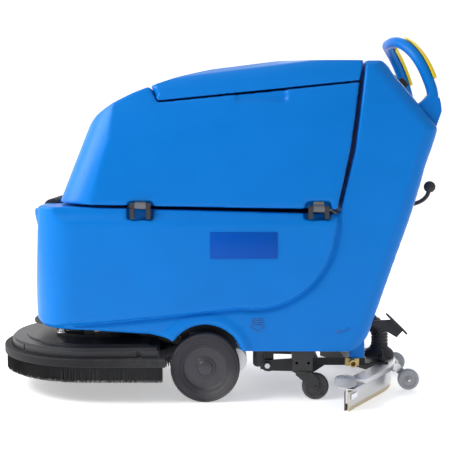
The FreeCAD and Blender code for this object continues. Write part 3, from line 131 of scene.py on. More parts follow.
def group_node(tree, kind, place=(0, 0), **settings):
    """Adds a node of a kind and sets some of its properties."""
    node = tree.nodes.new(kind)
    node.location = place
    for key, value in settings.items():
        setattr(node, key, value)
    return node


def new_group(name, inputs, outputs):
    """An empty shader node group with named float, colour and normal sockets."""
    tree = bpy.data.node_groups.new(name, "ShaderNodeTree")
    for label, kind, default in inputs:
        socket = tree.interface.new_socket(name=label, in_out="INPUT", socket_type=kind)
        socket.default_value = default
    for label, kind in outputs:
        tree.interface.new_socket(name=label, in_out="OUTPUT", socket_type=kind)
    return tree, tree.nodes.new("NodeGroupInput"), tree.nodes.new("NodeGroupOutput")


def grain_group():
    """Fine moulding grain over slow unevenness, as a height."""
    tree, given, result = new_group("Moulding grain", [
        ("Fine Scale", "NodeSocketFloat", 900.0),
        ("Slow Scale", "NodeSocketFloat", 14.0),
        ("Slow Share", "NodeSocketFloat", 0.5),
    ], [("Height", "NodeSocketFloat"), ("Speckle", "NodeSocketFloat")])
    place = group_node(tree, "ShaderNodeTexCoord")
    fine = group_node(tree, "ShaderNodeTexNoise")
    fine.inputs["Detail"].default_value = 3.0
    fine.inputs["Roughness"].default_value = 0.65
    slow = group_node(tree, "ShaderNodeTexNoise")
    slow.inputs["Detail"].default_value = 2.0
    mix = group_node(tree, "ShaderNodeMix", data_type="FLOAT")
    tree.links.new(place.outputs["Object"], fine.inputs["Vector"])
    tree.links.new(place.outputs["Object"], slow.inputs["Vector"])
    tree.links.new(given.outputs["Fine Scale"], fine.inputs["Scale"])
    tree.links.new(given.outputs["Slow Scale"], slow.inputs["Scale"])
    tree.links.new(given.outputs["Slow Share"], mix.inputs["Factor"])
    tree.links.new(fine.outputs["Fac"], mix.inputs[2])
    tree.links.new(slow.outputs["Fac"], mix.inputs[3])
    tree.links.new(mix.outputs[0], result.inputs["Height"])
    tree.links.new(fine.outputs["Fac"], result.inputs["Speckle"])
    return tree


def wear_group():
    """Colour and roughness with cloudy variation, paler worn edges, scuffs and floor dust."""
    tree, given, result = new_group("Wear and dust", [
        ("Color", "NodeSocketColor", (0.5, 0.5, 0.5, 1.0)),
        ("Roughness", "NodeSocketFloat", 0.5),
        ("Variation", "NodeSocketFloat", 0.1),
        ("Speckle", "NodeSocketFloat", 0.5),
        ("Edge Wear", "NodeSocketFloat", 0.1),
        ("Dust", "NodeSocketFloat", 0.1),
        ("Dust Color", "NodeSocketColor", (0.42, 0.40, 0.37, 1.0)),
    ], [("Color", "NodeSocketColor"), ("Roughness", "NodeSocketFloat")])
    link = tree.links.new
    place = group_node(tree, "ShaderNodeTexCoord")
    shape = group_node(tree, "ShaderNodeNewGeometry")
    cloud = group_node(tree, "ShaderNodeTexNoise")
    cloud.inputs["Scale"].default_value = 7.0
    cloud.inputs["Detail"].default_value = 4.0
    link(place.outputs["Object"], cloud.inputs["Vector"])

    def mathematics(operation, first, second, clamp=False):
        """One sum; each side is a socket or a number."""
        node = group_node(tree, "ShaderNodeMath", operation=operation, use_clamp=clamp)
        for index, side in enumerate((first, second)):
            if isinstance(side, (int, float)):
                node.inputs[index].default_value = side
            else:
                link(side, node.inputs[index])
        return node.outputs[0]

    def blend_colour(factor, first, second, kind="MIX"):
        """A colour mix; each side is a socket or a colour."""
        node = group_node(tree, "ShaderNodeMix", data_type="RGBA", blend_type=kind)
        link(factor, node.inputs["Factor"])
        for socket, side in ((node.inputs[6], first), (node.inputs[7], second)):
            if isinstance(side, tuple):
                socket.default_value = side
            else:
                link(side, socket)
        return node.outputs[2]

    cloudy = mathematics("SUBTRACT", cloud.outputs["Fac"], 0.5)
    grainy = mathematics("SUBTRACT", given.outputs["Speckle"], 0.5)
    shift = mathematics("ADD", cloudy, grainy)
    shift = mathematics("MULTIPLY", shift, given.outputs["Variation"])
    gain = mathematics("ADD", shift, 1.0)
    scale = group_node(tree, "ShaderNodeVectorMath", operation="SCALE")
    link(given.outputs["Color"], scale.inputs[0])
    link(gain, scale.inputs["Scale"])

    edge = group_node(tree, "ShaderNodeMapRange")
    link(shape.outputs["Pointiness"], edge.inputs["Value"])
    edge.inputs["From Min"].default_value = 0.53
    edge.inputs["From Max"].default_value = 0.62
    scratch = group_node(tree, "ShaderNodeTexNoise")
    scratch.inputs["Scale"].default_value = 60.0
    scratch.inputs["Detail"].default_value = 5.0
    link(place.outputs["Object"], scratch.inputs["Vector"])
    edge_mask = mathematics("MULTIPLY", edge.outputs["Result"], scratch.outputs["Fac"])
    edge_mask = mathematics("MULTIPLY", edge_mask, given.outputs["Edge Wear"], clamp=True)
    worn = blend_colour(edge_mask, scale.outputs[0], (0.75, 0.77, 0.80, 1.0))

    split = group_node(tree, "ShaderNodeSeparateXYZ")
    link(shape.outputs["Normal"], split.inputs[0])
    heights = group_node(tree, "ShaderNodeSeparateXYZ")
    link(place.outputs["Object"], heights.inputs[0])
    low = group_node(tree, "ShaderNodeMapRange")
    link(heights.outputs["Z"], low.inputs["Value"])
    low.inputs["From Min"].default_value = 0.14
    low.inputs["From Max"].default_value = 0.0
    patches = group_node(tree, "ShaderNodeMapRange")
    link(cloud.outputs["Fac"], patches.inputs["Value"])
    patches.inputs["From Min"].default_value = 0.42
    patches.inputs["From Max"].default_value = 0.72
    upward = mathematics("MAXIMUM", split.outputs["Z"], 0.0)
    dusty = mathematics("ADD", low.outputs["Result"], mathematics("MULTIPLY", upward, 0.35))
    dusty = mathematics("MULTIPLY", dusty, patches.outputs["Result"])
    dusty = mathematics("MULTIPLY", dusty, given.outputs["Dust"], clamp=True)
    link(blend_colour(dusty, worn, given.outputs["Dust Color"]), result.inputs["Color"])

    rough = mathematics("ADD", given.outputs["Roughness"], mathematics("MULTIPLY", cloudy, 0.12))
    rough = mathematics("ADD", rough, mathematics("MULTIPLY", dusty, 0.5), clamp=True)
    link(rough, result.inputs["Roughness"])
    return tree


def ridge_group():
    """Straight ridges along one of the object's axes, as a height."""
    tree, given, result = new_group("Ridges", [
        ("Along", "NodeSocketVector", (1.0, 0.0, 0.0)),
        ("Pitch", "NodeSocketFloat", 0.003),
    ], [("Height", "NodeSocketFloat")])
    place = group_node(tree, "ShaderNodeTexCoord")
    dot = group_node(tree, "ShaderNodeVectorMath", operation="DOT_PRODUCT")
    tree.links.new(place.outputs["Object"], dot.inputs[0])
    tree.links.new(given.outputs["Along"], dot.inputs[1])
    turns = group_node(tree, "ShaderNodeMath", operation="DIVIDE")
    tree.links.new(dot.outputs["Value"], turns.inputs[0])
    tree.links.new(given.outputs["Pitch"], turns.inputs[1])
    wave = group_node(tree, "ShaderNodeMath", operation="PINGPONG")
    tree.links.new(turns.outputs[0], wave.inputs[0])
    wave.inputs[1].default_value = 0.5
    tree.links.new(wave.outputs[0], result.inputs["Height"])
    return tree


def finish(name, colour, roughness, fine=900.0, slow=14.0, slow_share=0.4, bump=0.25,
           depth=0.0003, variation=0.1, wear=0.15, dust=0.15, metallic=0.0, coat=0.0,
           specular=0.5, ridges=None):
    """A material: the shared grain and wear groups in front of one Principled shader."""
    material = bpy.data.materials.new(name)
    material.use_nodes = True
    tree = material.node_tree
    shader = next(node for node in tree.nodes if node.type == "BSDF_PRINCIPLED")
    shader.inputs["Metallic"].default_value = metallic
    shader.inputs["Coat Weight"].default_value = coat
    shader.inputs["Coat Roughness"].default_value = 0.25
    shader.inputs["Specular IOR Level"].default_value = specular
    grain = group_node(tree, "ShaderNodeGroup", (-700, -200),
                       node_tree=bpy.data.node_groups["Moulding grain"])
    grain.inputs["Fine Scale"].default_value = fine
    grain.inputs["Slow Scale"].default_value = slow
    grain.inputs["Slow Share"].default_value = slow_share
    wear_node = group_node(tree, "ShaderNodeGroup", (-400, 100),
                           node_tree=bpy.data.node_groups["Wear and dust"])
    wear_node.inputs["Color"].default_value = (*colour, 1.0)
    wear_node.inputs["Roughness"].default_value = roughness
    wear_node.inputs["Variation"].default_value = variation
    wear_node.inputs["Edge Wear"].default_value = wear
    wear_node.inputs["Dust"].default_value = dust
    bump_node = group_node(tree, "ShaderNodeBump", (-250, -200))
    bump_node.inputs["Strength"].default_value = bump
    bump_node.inputs["Distance"].default_value = depth
    tree.links.new(grain.outputs["Speckle"], wear_node.inputs["Speckle"])
    tree.links.new(wear_node.outputs["Color"], shader.inputs["Base Color"])
    tree.links.new(wear_node.outputs["Roughness"], shader.inputs["Roughness"])
    tree.links.new(grain.outputs["Height"], bump_node.inputs["Height"])
    normal = bump_node.outputs["Normal"]
    if ridges:
        along, pitch, height = ridges
        ridge = group_node(tree, "ShaderNodeGroup", (-700, -450),
                           node_tree=bpy.data.node_groups["Ridges"])
        ridge.inputs["Along"].default_value = along
        ridge.inputs["Pitch"].default_value = pitch
        second = group_node(tree, "ShaderNodeBump", (-100, -350))
        second.inputs["Strength"].default_value = 0.8
        second.inputs["Distance"].default_value = height
        tree.links.new(ridge.outputs["Height"], second.inputs["Height"])
        tree.links.new(normal, second.inputs["Normal"])
        normal = second.outputs["Normal"]
    tree.links.new(normal, shader.inputs["Normal"])
    return material


def make_finishes(colours):
    """Every finish of the machine, by the name the pieces ask for."""
    grain_group()
    wear_group()
    ridge_group()
    blue = tuple(colours.blue)
    finish("rotomoulded_blue", blue, 0.34, fine=700, slow=9, slow_share=0.55, bump=0.3,
           depth=0.0006, variation=0.16, wear=0.05, dust=0.03, specular=0.18)
    finish("lid_blue", blue, 0.36, fine=700, slow=9, slow_share=0.55, bump=0.35,
           depth=0.0006, variation=0.2, wear=0.05, dust=0.03, specular=0.18)
    finish("label_blue", tuple(colours.label_blue), 0.34, fine=1500, bump=0.05, variation=0.05,
           wear=0.0, dust=0.0, specular=0.14)
    finish("emboss_blue", tuple(value * 0.72 for value in blue), 0.42, bump=0.2, dust=0.05,
           specular=0.3)
    black = tuple(colours.black)
    finish("black_plastic", black, 0.42, fine=1100, bump=0.3, depth=0.0004, wear=0.25, dust=0.28)
    finish("deck_plastic", tuple(value * 1.5 for value in black), 0.36, fine=800, slow=20,
           bump=0.35, depth=0.0006, wear=0.35, dust=0.16, coat=0.05, specular=0.32)
    finish("soft_black", tuple(value * 0.8 for value in black), 0.62, fine=500, bump=0.25,
           wear=0.1, dust=0.3)
    finish("hose_black", tuple(value * 0.9 for value in black), 0.38, fine=500, bump=0.1, wear=0.2,
           dust=0.25)
    finish("bristle_black", (0.012, 0.012, 0.014), 0.55, fine=600, bump=0.1, variation=0.5,
           wear=0.0, dust=0.10)
    finish("band_grey", (0.015, 0.015, 0.017), 0.6, fine=600, bump=0.4, wear=0.3, dust=0.12,
           specular=0.22)
    finish("sleeve_grey", (0.13, 0.135, 0.15), 0.5, wear=0.2, dust=0.1,
           ridges=((1.0, 0.0, 0.0), 0.004, 0.0008))
    finish("tyre_grey", tuple(colours.rubber), 0.66, fine=420, slow=30, slow_share=0.3, bump=0.4,
           depth=0.0005, variation=0.2, wear=0.3, dust=0.3, specular=0.3)
    finish("rim_grey", tuple(value * 1.25 for value in colours.rubber), 0.45, bump=0.3, wear=0.3,
           dust=0.2)
    finish("wheel_light_grey", tuple(colours.light_rubber), 0.55, fine=500, bump=0.3,
           variation=0.15, wear=0.1, dust=0.3)
    finish("blade_tan", tuple(colours.tan), 0.6, fine=300, bump=0.25, variation=0.18, wear=0.0,
           dust=0.3)
    finish("blade_black", (0.02, 0.02, 0.02), 0.6, fine=300, bump=0.25, wear=0.0, dust=0.35)
    finish("paddle_yellow", tuple(colours.yellow), 0.3, fine=900, bump=0.12, variation=0.06,
           wear=0.05, dust=0.03, coat=0.2)
    finish("black_steel", (0.02, 0.02, 0.022), 0.4, fine=1300, slow=60, bump=0.35,
           depth=0.0003, wear=0.55, dust=0.35)
    finish("zinc_steel", (0.60, 0.60, 0.60), 0.3, fine=1400, slow=40, bump=0.15,
           variation=0.12, wear=0.2, dust=0.18, metallic=1.0)
    finish("bright_steel", (0.78, 0.78, 0.80), 0.14, fine=1500, slow=40, bump=0.05,
           variation=0.05, wear=0.1, dust=0.05, metallic=1.0)
    finish("cast_aluminium", (0.62, 0.61, 0.58), 0.42, fine=260, slow=30, slow_share=0.3, bump=0.5,
           depth=0.0006, variation=0.12, wear=0.2, dust=0.25, metallic=0.85)
    finish("brass", (0.55, 0.37, 0.13), 0.32, fine=900, bump=0.15, variation=0.15, wear=0.2,
           dust=0.15, metallic=1.0)
    finish("panel_black", (0.016, 0.015, 0.016), 0.34, fine=1200, bump=0.15, wear=0.1, dust=0.08,
           coat=0.25)
    finish("display_dark", (0.01, 0.016, 0.02), 0.12, fine=2000, bump=0.0, wear=0.0, dust=0.02,
           coat=0.6)
    finish("button_green", (0.03, 0.30, 0.09), 0.35, bump=0.1, dust=0.05, coat=0.2)
    finish("button_blue", (0.02, 0.12, 0.42), 0.35, bump=0.1, dust=0.05, coat=0.2)
    finish("marking_white", (0.72, 0.73, 0.74), 0.5, bump=0.1, wear=0.0, dust=0.1)
    finish("battery_grey", (0.10, 0.10, 0.11), 0.5, bump=0.3, wear=0.2, dust=0.3)


def paint(piece, *finishes):
    """Gives a piece its finishes, by name."""
    piece.data.materials.clear()
    for name in finishes:
        piece.data.materials.append(bpy.data.materials[name])


# ---------------------------------------------------------------- mesh makers

def add_piece(name, mesh, body, slot, *finishes, replaces=(), smooth=True):
    """Puts a mesh into the scene as a piece that rides on a body, or on no body."""
    piece = bpy.data.objects.new(name, mesh)
    bpy.context.scene.collection.objects.link(piece)
    if smooth:
        mesh.shade_smooth()
    paint(piece, *finishes)
    if body:
        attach(piece, body)
    if replaces:
        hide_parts(*replaces)
    return piece


def to_mesh(name, bm):
    """Turns a bmesh into a mesh with its normals outwards."""
    bmesh.ops.recalc_face_normals(bm, faces=bm.faces)
    mesh = bpy.data.meshes.new(name)
    bm.to_mesh(mesh)
    bm.free()
    return mesh


def soften(piece, width, segments=2, angle=32):
    """Bevels the sharp edges of a piece."""
    bevel = piece.modifiers.new("edges", "BEVEL")
    bevel.width = width
    bevel.segments = segments
    bevel.limit_method = "ANGLE"
    bevel.angle_limit = math.radians(angle)
    bevel.use_clamp_overlap = True
    bevel.harden_normals = False
    weighted = piece.modifiers.new("normals", "WEIGHTED_NORMAL")
    weighted.keep_sharp = False
    weighted.weight = 80


def crisp(node, slot, finish_name, bevel=0.001, segments=2):
    """A finished copy of a CAD node: its flat faces joined up again and its edges bevelled."""
    body = next(body for body, names in frame["record"]["behaviour"]["bodies"].items()
                if node in names)
    bm = bmesh.new()
    bm.from_mesh(frame["nodes"][node].data)
    bmesh.ops.remove_doubles(bm, verts=bm.verts, dist=0.00001)
    bmesh.ops.dissolve_limit(bm, angle_limit=math.radians(0.6), verts=bm.verts, edges=bm.edges)
    mesh = to_mesh(node + "_finished", bm)
    piece = add_piece(node + "_finished", mesh, body, slot, finish_name, replaces=(node,))
    if bevel:
        soften(piece, bevel, segments)
    return piece


def moulded(name, node, voxel, passes, reshape=None):
    """A moulded shell: a CAD node's solid on an even grid with softened edges.
    reshape(points) may move the points, given and returned as an array."""
    mesh = frame["nodes"][node].data.copy()
    source = bpy.data.objects.new(name + "_source", mesh)
    bpy.context.scene.collection.objects.link(source)
    weld = source.modifiers.new("weld", "WELD")
    weld.merge_threshold = 0.00001
    grid = source.modifiers.new("grid", "REMESH")
    grid.mode = "VOXEL"
    grid.voxel_size = voxel
    ease = source.modifiers.new("soften", "SMOOTH")
    ease.factor = 0.5
    ease.iterations = passes
    depsgraph = bpy.context.evaluated_depsgraph_get()
    result = bpy.data.meshes.new_from_object(source.evaluated_get(depsgraph))
    result.name = name
    bpy.data.objects.remove(source)
    bpy.data.meshes.remove(mesh)
    if reshape:
        points = np.empty(len(result.vertices) * 3, dtype=np.float32)
        result.vertices.foreach_get("co", points)
        points = reshape(points.reshape(-1, 3).astype(float))
        result.vertices.foreach_set("co", points.astype(np.float32).ravel())
        result.update()
    return result


def profile_of(points, across, along, low, high, steps, outermost):
    """The outline of a shell seen from the side: outermost value against height."""
    edges = np.linspace(low, high, steps + 1)
    middles, values = [], []
    for start, end in zip(edges[:-1], edges[1:]):
        inside = across & (along >= start) & (along < end)
        if inside.any():
            middles.append((start + end) / 2)
            values.append(outermost(inside))
    return np.array(middles), np.array(values)


def corner_shift(first, second, radius):
    """How far points near a square corner move to make it round: two distances inwards."""
    near = (first < radius) & (second < radius)
    reach = np.hypot(radius - first, radius - second)
    outside = near & (reach > radius)
    share = np.where(outside, 1 - radius / np.maximum(reach, 1e-9), 0)
    return (radius - first) * share, (radius - second) * share


def lathe(profile, segments=72, closed=True):
    """A turned shape round +Z from (radius, height) pairs."""
    bm = bmesh.new()
    rings = []
    for radius, height in profile:
        if radius < 1e-6:
            rings.append([bm.verts.new((0, 0, height))])
            continue
        rings.append([bm.verts.new((radius * math.cos(turn), radius * math.sin(turn), height))
                      for turn in (2 * math.pi * step / segments for step in range(segments))])
    pairs = list(zip(rings, rings[1:] + rings[:1])) if closed else list(zip(rings, rings[1:]))
    for lower, upper in pairs:
        for step in range(segments):
            after = (step + 1) % segments
            corners = [lower[step % len(lower)], lower[after % len(lower)],
                       upper[after % len(upper)], upper[step % len(upper)]]
            unique = list(dict.fromkeys(corners))
            if len(unique) > 2:
                bm.faces.new(unique)
    return bm


def turned_to(bm, centre, axis):
    """Moves a shape made round +Z so that it is round another axis through a point."""
    turn = Vector((0, 0, 1)).rotation_difference(Vector(axis)).to_matrix().to_4x4()
    bmesh.ops.transform(bm, matrix=Matrix.Translation(centre) @ turn, verts=bm.verts)
    return bm


def rounded_profile(corners, steps=5):
    """(radius, height, rounding) corners of a closed profile as a list of rounded points."""
    points = []
    count = len(corners)
    for index, (radius, height, rounding) in enumerate(corners):
        here = Vector((radius, height))
        if rounding <= 0:
            points.append((radius, height))
            continue
        before = Vector(corners[index - 1][:2]) - here
        after = Vector(corners[(index + 1) % count][:2]) - here
        start = here + before.normalized() * min(rounding, before.length * 0.49)
        end = here + after.normalized() * min(rounding, after.length * 0.49)
        for step in range(steps + 1):
            share = step / steps
            point = start.lerp(here, share).lerp(here.lerp(end, share), share)
            points.append((max(point.x, 0.0), point.y))
    return points


def block(bm, centre, size, rounding=0.0015, turn=None, segments=2):
    """Adds a block with rounded edges to a bmesh."""
    made = bmesh.ops.create_cube(bm, size=1.0)["verts"]
    bmesh.ops.scale(bm, vec=size, verts=made)
    edges = list({edge for vert in made for edge in vert.link_edges})
    rounding = min(rounding, min(size) * 0.45)
    made = bmesh.ops.bevel(bm, geom=edges, offset=rounding, segments=segments,
                           affect="EDGES", profile=0.5)["verts"] + [v for v in made if v.is_valid]
    verts = list({vert for vert in made if vert.is_valid})
    matrix = Matrix.Translation(centre) @ (turn.to_4x4() if turn else Matrix.Identity(4))
    bmesh.ops.transform(bm, matrix=matrix, verts=verts)
    return verts


def sweep(bm, points, radii, sides=16, caps=True):
    """Adds a tube along points, with one radius for each point."""
    points = [Vector(point) for point in points]
    ways = [(points[min(i + 1, len(points) - 1)] - points[max(i - 1, 0)]).normalized()
            for i in range(len(points))]
    normal = ways[0].orthogonal().normalized()
    rings = []
    for point, way, radius in zip(points, ways, radii):
        normal = (normal - way * normal.dot(way)).normalized()
        other = way.cross(normal)
        rings.append([bm.verts.new(point + radius * (math.cos(turn) * normal + math.sin(turn) * other))
                      for turn in (2 * math.pi * step / sides for step in range(sides))])
    for lower, upper in zip(rings, rings[1:]):
        for step in range(sides):
            after = (step + 1) % sides
            bm.faces.new((lower[step], lower[after], upper[after], upper[step]))
    if caps:
        bm.faces.new(rings[0][::-1])
        bm.faces.new(rings[-1])
    return rings


def smooth_path(points, steps):
    """Points evenly along a smooth curve through some points."""
    points = [Vector(point) for point in points]
    dense = []
    for index in range(len(points) - 1):
        before = points[max(index - 1, 0)]
        start, end = points[index], points[index + 1]
        after = points[min(index + 2, len(points) - 1)]
        for step in range(12):
            t = step / 12
            dense.append(0.5 * ((2 * start) + (end - before) * t
                                + (2 * before - 5 * start + 4 * end - after) * t * t
                                + (3 * start - before - 3 * end + after) * t ** 3))
    dense.append(points[-1])
    lengths = [0.0]
    for first, second in zip(dense, dense[1:]):
        lengths.append(lengths[-1] + (second - first).length)
    result, place = [], 0
    for step in range(steps + 1):
        goal = lengths[-1] * step / steps
        while place < len(dense) - 2 and lengths[place + 1] < goal:
            place += 1
        share = (goal - lengths[place]) / max(lengths[place + 1] - lengths[place], 1e-9)
        result.append(dense[place].lerp(dense[place + 1], share))
    return result


def hexagon_bolt(bm, centre, axis, across=0.013, height=0.006, washer=0.010):
    """Adds a hexagon head on its washer, standing out along an axis."""
    head = bmesh.new()
    sides = []
    for level, scale in ((0.0, 1.0), (height * 0.8, 1.0), (height, 0.86)):
        sides.append([head.verts.new((across / 1.732 * scale * math.cos(turn),
                                      across / 1.732 * scale * math.sin(turn), level + 0.0012))
                      for turn in (math.pi / 3 * step for step in range(6))])
    for lower, upper in zip(sides, sides[1:]):
        for step in range(6):
            after = (step + 1) % 6
            head.faces.new((lower[step], lower[after], upper[after], upper[step]))
    head.faces.new(sides[-1])
    head.faces.new(sides[0][::-1])
    ring = lathe([(0, 0), (washer, 0), (washer, 0.0009), (washer - 0.0005, 0.0014), (0, 0.0014)],
                 32, closed=False)
    for part in (head, ring):
        turned_to(part, centre, axis)
        mesh = to_mesh("bolt_part", part)
        bm.from_mesh(mesh)
        bpy.data.meshes.remove(mesh)


def slope_matrix():
    """The place and turn of the sloping face: X down it, Y across it, Z out of it."""
    return (Matrix.Translation((0.508, 0, 0.942))
            @ Matrix.Rotation(math.radians(50.2), 4, "Y"))


# ---------------------------------------------------------------- stage and camera

def build_stage():
    """A plain pale floor that runs up into a backdrop, soft lights, and the camera."""
    bm = bmesh.new()
    path = [(-9.0, 0.0), (6.0, 0.0)]
    path += [(6.0 + 3.0 * math.sin(turn), 3.0 - 3.0 * math.cos(turn))
             for turn in (math.pi / 2 * step / 16 for step in range(1, 17))]
    path.append((9.0, 9.0))
    rows = [[bm.verts.new((x, y, z)) for x in (-14.0, 14.0)] for y, z in path]
    for near, far in zip(rows, rows[1:]):
        bm.faces.new((near[0], near[1], far[1], far[0]))
    mesh = bpy.data.meshes.new("floor")
    bm.to_mesh(mesh)
    bm.free()
    mesh.shade_smooth()
    floor = bpy.data.objects.new("floor", mesh)
    bpy.context.scene.collection.objects.link(floor)
    material = bpy.data.materials.new("pale_floor")
    material.use_nodes = True
    shader = next(node for node in material.node_tree.nodes if node.type == "BSDF_PRINCIPLED")
    shader.inputs["Base Color"].default_value = (0.94, 0.94, 0.94, 1.0)
    shader.inputs["Roughness"].default_value = 0.7
    shader.inputs["Emission Color"].default_value = (1.0, 1.0, 1.0, 1.0)
    shader.inputs["Emission Strength"].default_value = 0.45
    mesh.materials.append(material)

    scene = bpy.context.scene
    scene.view_settings.view_transform = "Standard"
    world = bpy.data.worlds.new("studio")
    scene.world = world
    world.use_nodes = True
    back = world.node_tree.nodes["Background"]
    back.inputs["Color"].default_value = (1.0, 1.0, 1.0, 1.0)
    tree = world.node_tree
    direction = group_node(tree, "ShaderNodeTexCoord")
    parts = group_node(tree, "ShaderNodeSeparateXYZ")
    overhead = group_node(tree, "ShaderNodeMapRange")
    for label, value in (("From Min", -0.1), ("From Max", 0.9), ("To Min", 0.14),
                         ("To Max", 0.62)):
        overhead.inputs[label].default_value = value
    tree.links.new(direction.outputs["Generated"], parts.inputs[0])
    tree.links.new(parts.outputs["Z"], overhead.inputs["Value"])
    seen = group_node(tree, "ShaderNodeLightPath")
    plain = group_node(tree, "ShaderNodeMath", operation="MAXIMUM")
    tree.links.new(overhead.outputs["Result"], plain.inputs[0])
    tree.links.new(seen.outputs["Is Camera Ray"], plain.inputs[1])
    tree.links.new(plain.outputs[0], back.inputs["Strength"])
    for name, place, aim, size, power in (
            ("key", (-2.5, -1.4, 2.8), (-0.1, 0.0, 0.6), 1.4, 74.0),
            ("fill", (2.4, -2.6, 1.2), (0.1, 0.0, 0.4), 2.4, 4.0),
            ("rim", (1.2, 2.6, 2.4), (0.0, 0.0, 0.6), 2.0, 24.0),
            ("front", (-2.9, 0.1, 1.7), (-0.2, 0.0, 0.6), 1.6, 46.0)):
        light = bpy.data.lights.new(name, "AREA")
        light.shape = "SQUARE"
        light.size = size
        light.energy = power
        lamp = bpy.data.objects.new(name, light)
        lamp.location = place
        lamp.rotation_euler = (Vector(aim) - Vector(place)).to_track_quat("-Z", "Y").to_euler()
        scene.collection.objects.link(lamp)

    camera = bpy.data.cameras.new("camera")
    camera.sensor_width = 36.0
    camera.lens = 76.4
    camera.clip_end = 60.0
    view = bpy.data.objects.new("camera", camera)
    view.location = (0.030, -2.950, 0.753)
    view.rotation_euler = (math.radians(90 - 5.09), 0.0, 0.0)
    scene.collection.objects.link(view)
    scene.camera = view


# ---------------------------------------------------------------- lower body

PANEL_EDGE = [(-0.518, 0.234), (-0.492, 0.218), (-0.440, 0.224), (-0.184, 0.249), (0.073, 0.277)]
PANEL_ARC_END = (0.338, 0.460)
PANEL_ARC_RADIUS = 0.235
PANEL_END = (0.353, 0.543)
PANEL_FACE_Y = 0.268
SILL_FACE_Y = 0.256
GROOVE_WIDTH = 0.020
GROOVE_DEPTH = 0.0075
ARCH_CENTRE = (-0.027, 0.118)
ARCH_LIP = (0.112, 0.146)
ARCH_LIP_RISE = 0.010


def panel_edge():
    """Close points along the edge of the proud front panel, as seen from the side."""
    start, end = np.array(PANEL_EDGE[-1]), np.array(PANEL_ARC_END)
    middle, half = (start + end) / 2, (end - start) / 2
    length = np.hypot(*half)
    inward = np.array([-half[1], half[0]]) / length
    centre = middle + inward * math.sqrt(PANEL_ARC_RADIUS ** 2 - length ** 2)
    first, last = (math.atan2(*(point - centre)[::-1]) for point in (start, end))
    arc = [tuple(centre + PANEL_ARC_RADIUS * np.array([math.cos(turn), math.sin(turn)]))
           for turn in np.linspace(first, last, 12)]
    corners = np.array(PANEL_EDGE[:-1] + arc + [PANEL_END])
    points = []
    for before, after in zip(corners, corners[1:]):
        steps = max(2, int(np.hypot(*(after - before)) / 0.004))
        points += [before + (after - before) * share for share in np.linspace(0, 1, steps)]
    return np.array(points)


def nearest(points, line):
    """For each 2-D point, the distance to a line of close points and the index of the nearest."""
    index = np.empty(len(points), dtype=int)
    for start in range(0, len(points), 20000):
        part = points[start:start + 20000]
        index[start:start + 20000] = np.argmin(
            ((part[:, None, :] - line[None, :, :]) ** 2).sum(axis=2), axis=1)
    return np.hypot(*(points - line[index]).T), index


def shape_body(points):
    """Rounds the column's upright corners and presses the groove beside the front panel."""
    sizes = bpy.context.scene.scrubber_sizes
    x, y, z = points.T
    middle = (np.abs(y) > 0.05) & (np.abs(y) < 0.10) & (x > 0.3)
    heights, rears = profile_of(points, middle, z, 0.150, 0.975, 90,
                                lambda inside: x[inside].max())
    fine = np.linspace(heights[0], heights[-1], 500)
    line = np.column_stack([np.interp(fine, heights, rears), fine])
    ways = np.gradient(line, axis=0)
    inward = np.column_stack([-ways[:, 1], ways[:, 0]])
    inward /= np.hypot(*inward.T)[:, None]
    near = np.where((x > np.interp(z, fine, line[:, 0]) - 0.16) & (np.abs(y) > 0.19))[0]
    pairs = points[near][:, [0, 2]]
    index = nearest(pairs, line)[1]
    depth = ((pairs - line[index]) * inward[index]).sum(axis=1)
    width = np.interp(z[near], [0.19, 0.42, 0.858, 0.965], [0.256, 0.256, 0.248, 0.228])
    move_in, move_side = corner_shift(depth, width - np.abs(y[near]), sizes.column_corner)
    points[near, 0] += inward[index, 0] * move_in
    points[near, 2] += inward[index, 1] * move_in
    points[near, 1] -= np.sign(y[near]) * move_side

    x, y, z = points.T
    face = np.where((np.abs(y) > SILL_FACE_Y - 0.009) & (np.abs(y) < SILL_FACE_Y + 0.0025)
                    & (x > -0.40) & (x < 0.36) & (z > 0.17))[0]
    distance = nearest(points[face][:, [0, 2]], panel_edge())[0]
    press = np.where(distance < GROOVE_WIDTH,
                     GROOVE_DEPTH * np.cos(distance / GROOVE_WIDTH * math.pi / 2) ** 2, 0)
    points[face, 1] -= np.sign(y[face]) * press

    reach = np.hypot(points[:, 0] - ARCH_CENTRE[0], points[:, 2] - ARCH_CENTRE[1])
    lip = np.where((np.abs(points[:, 1]) > 0.232) & (reach > ARCH_LIP[0] - 0.012)
                   & (reach < ARCH_LIP[1]) & (points[:, 2] > 0.150))[0]
    share = np.clip((reach[lip] - ARCH_LIP[0]) / (ARCH_LIP[1] - ARCH_LIP[0]), 0, 1)
    fade = np.clip((np.abs(points[lip, 1]) - 0.232) / 0.016, 0, 1)
    rise = ARCH_LIP_RISE * np.cos(share * math.pi / 2) ** 1.5 * fade
    points[lip, 1] += np.sign(points[lip, 1]) * rise
    return points


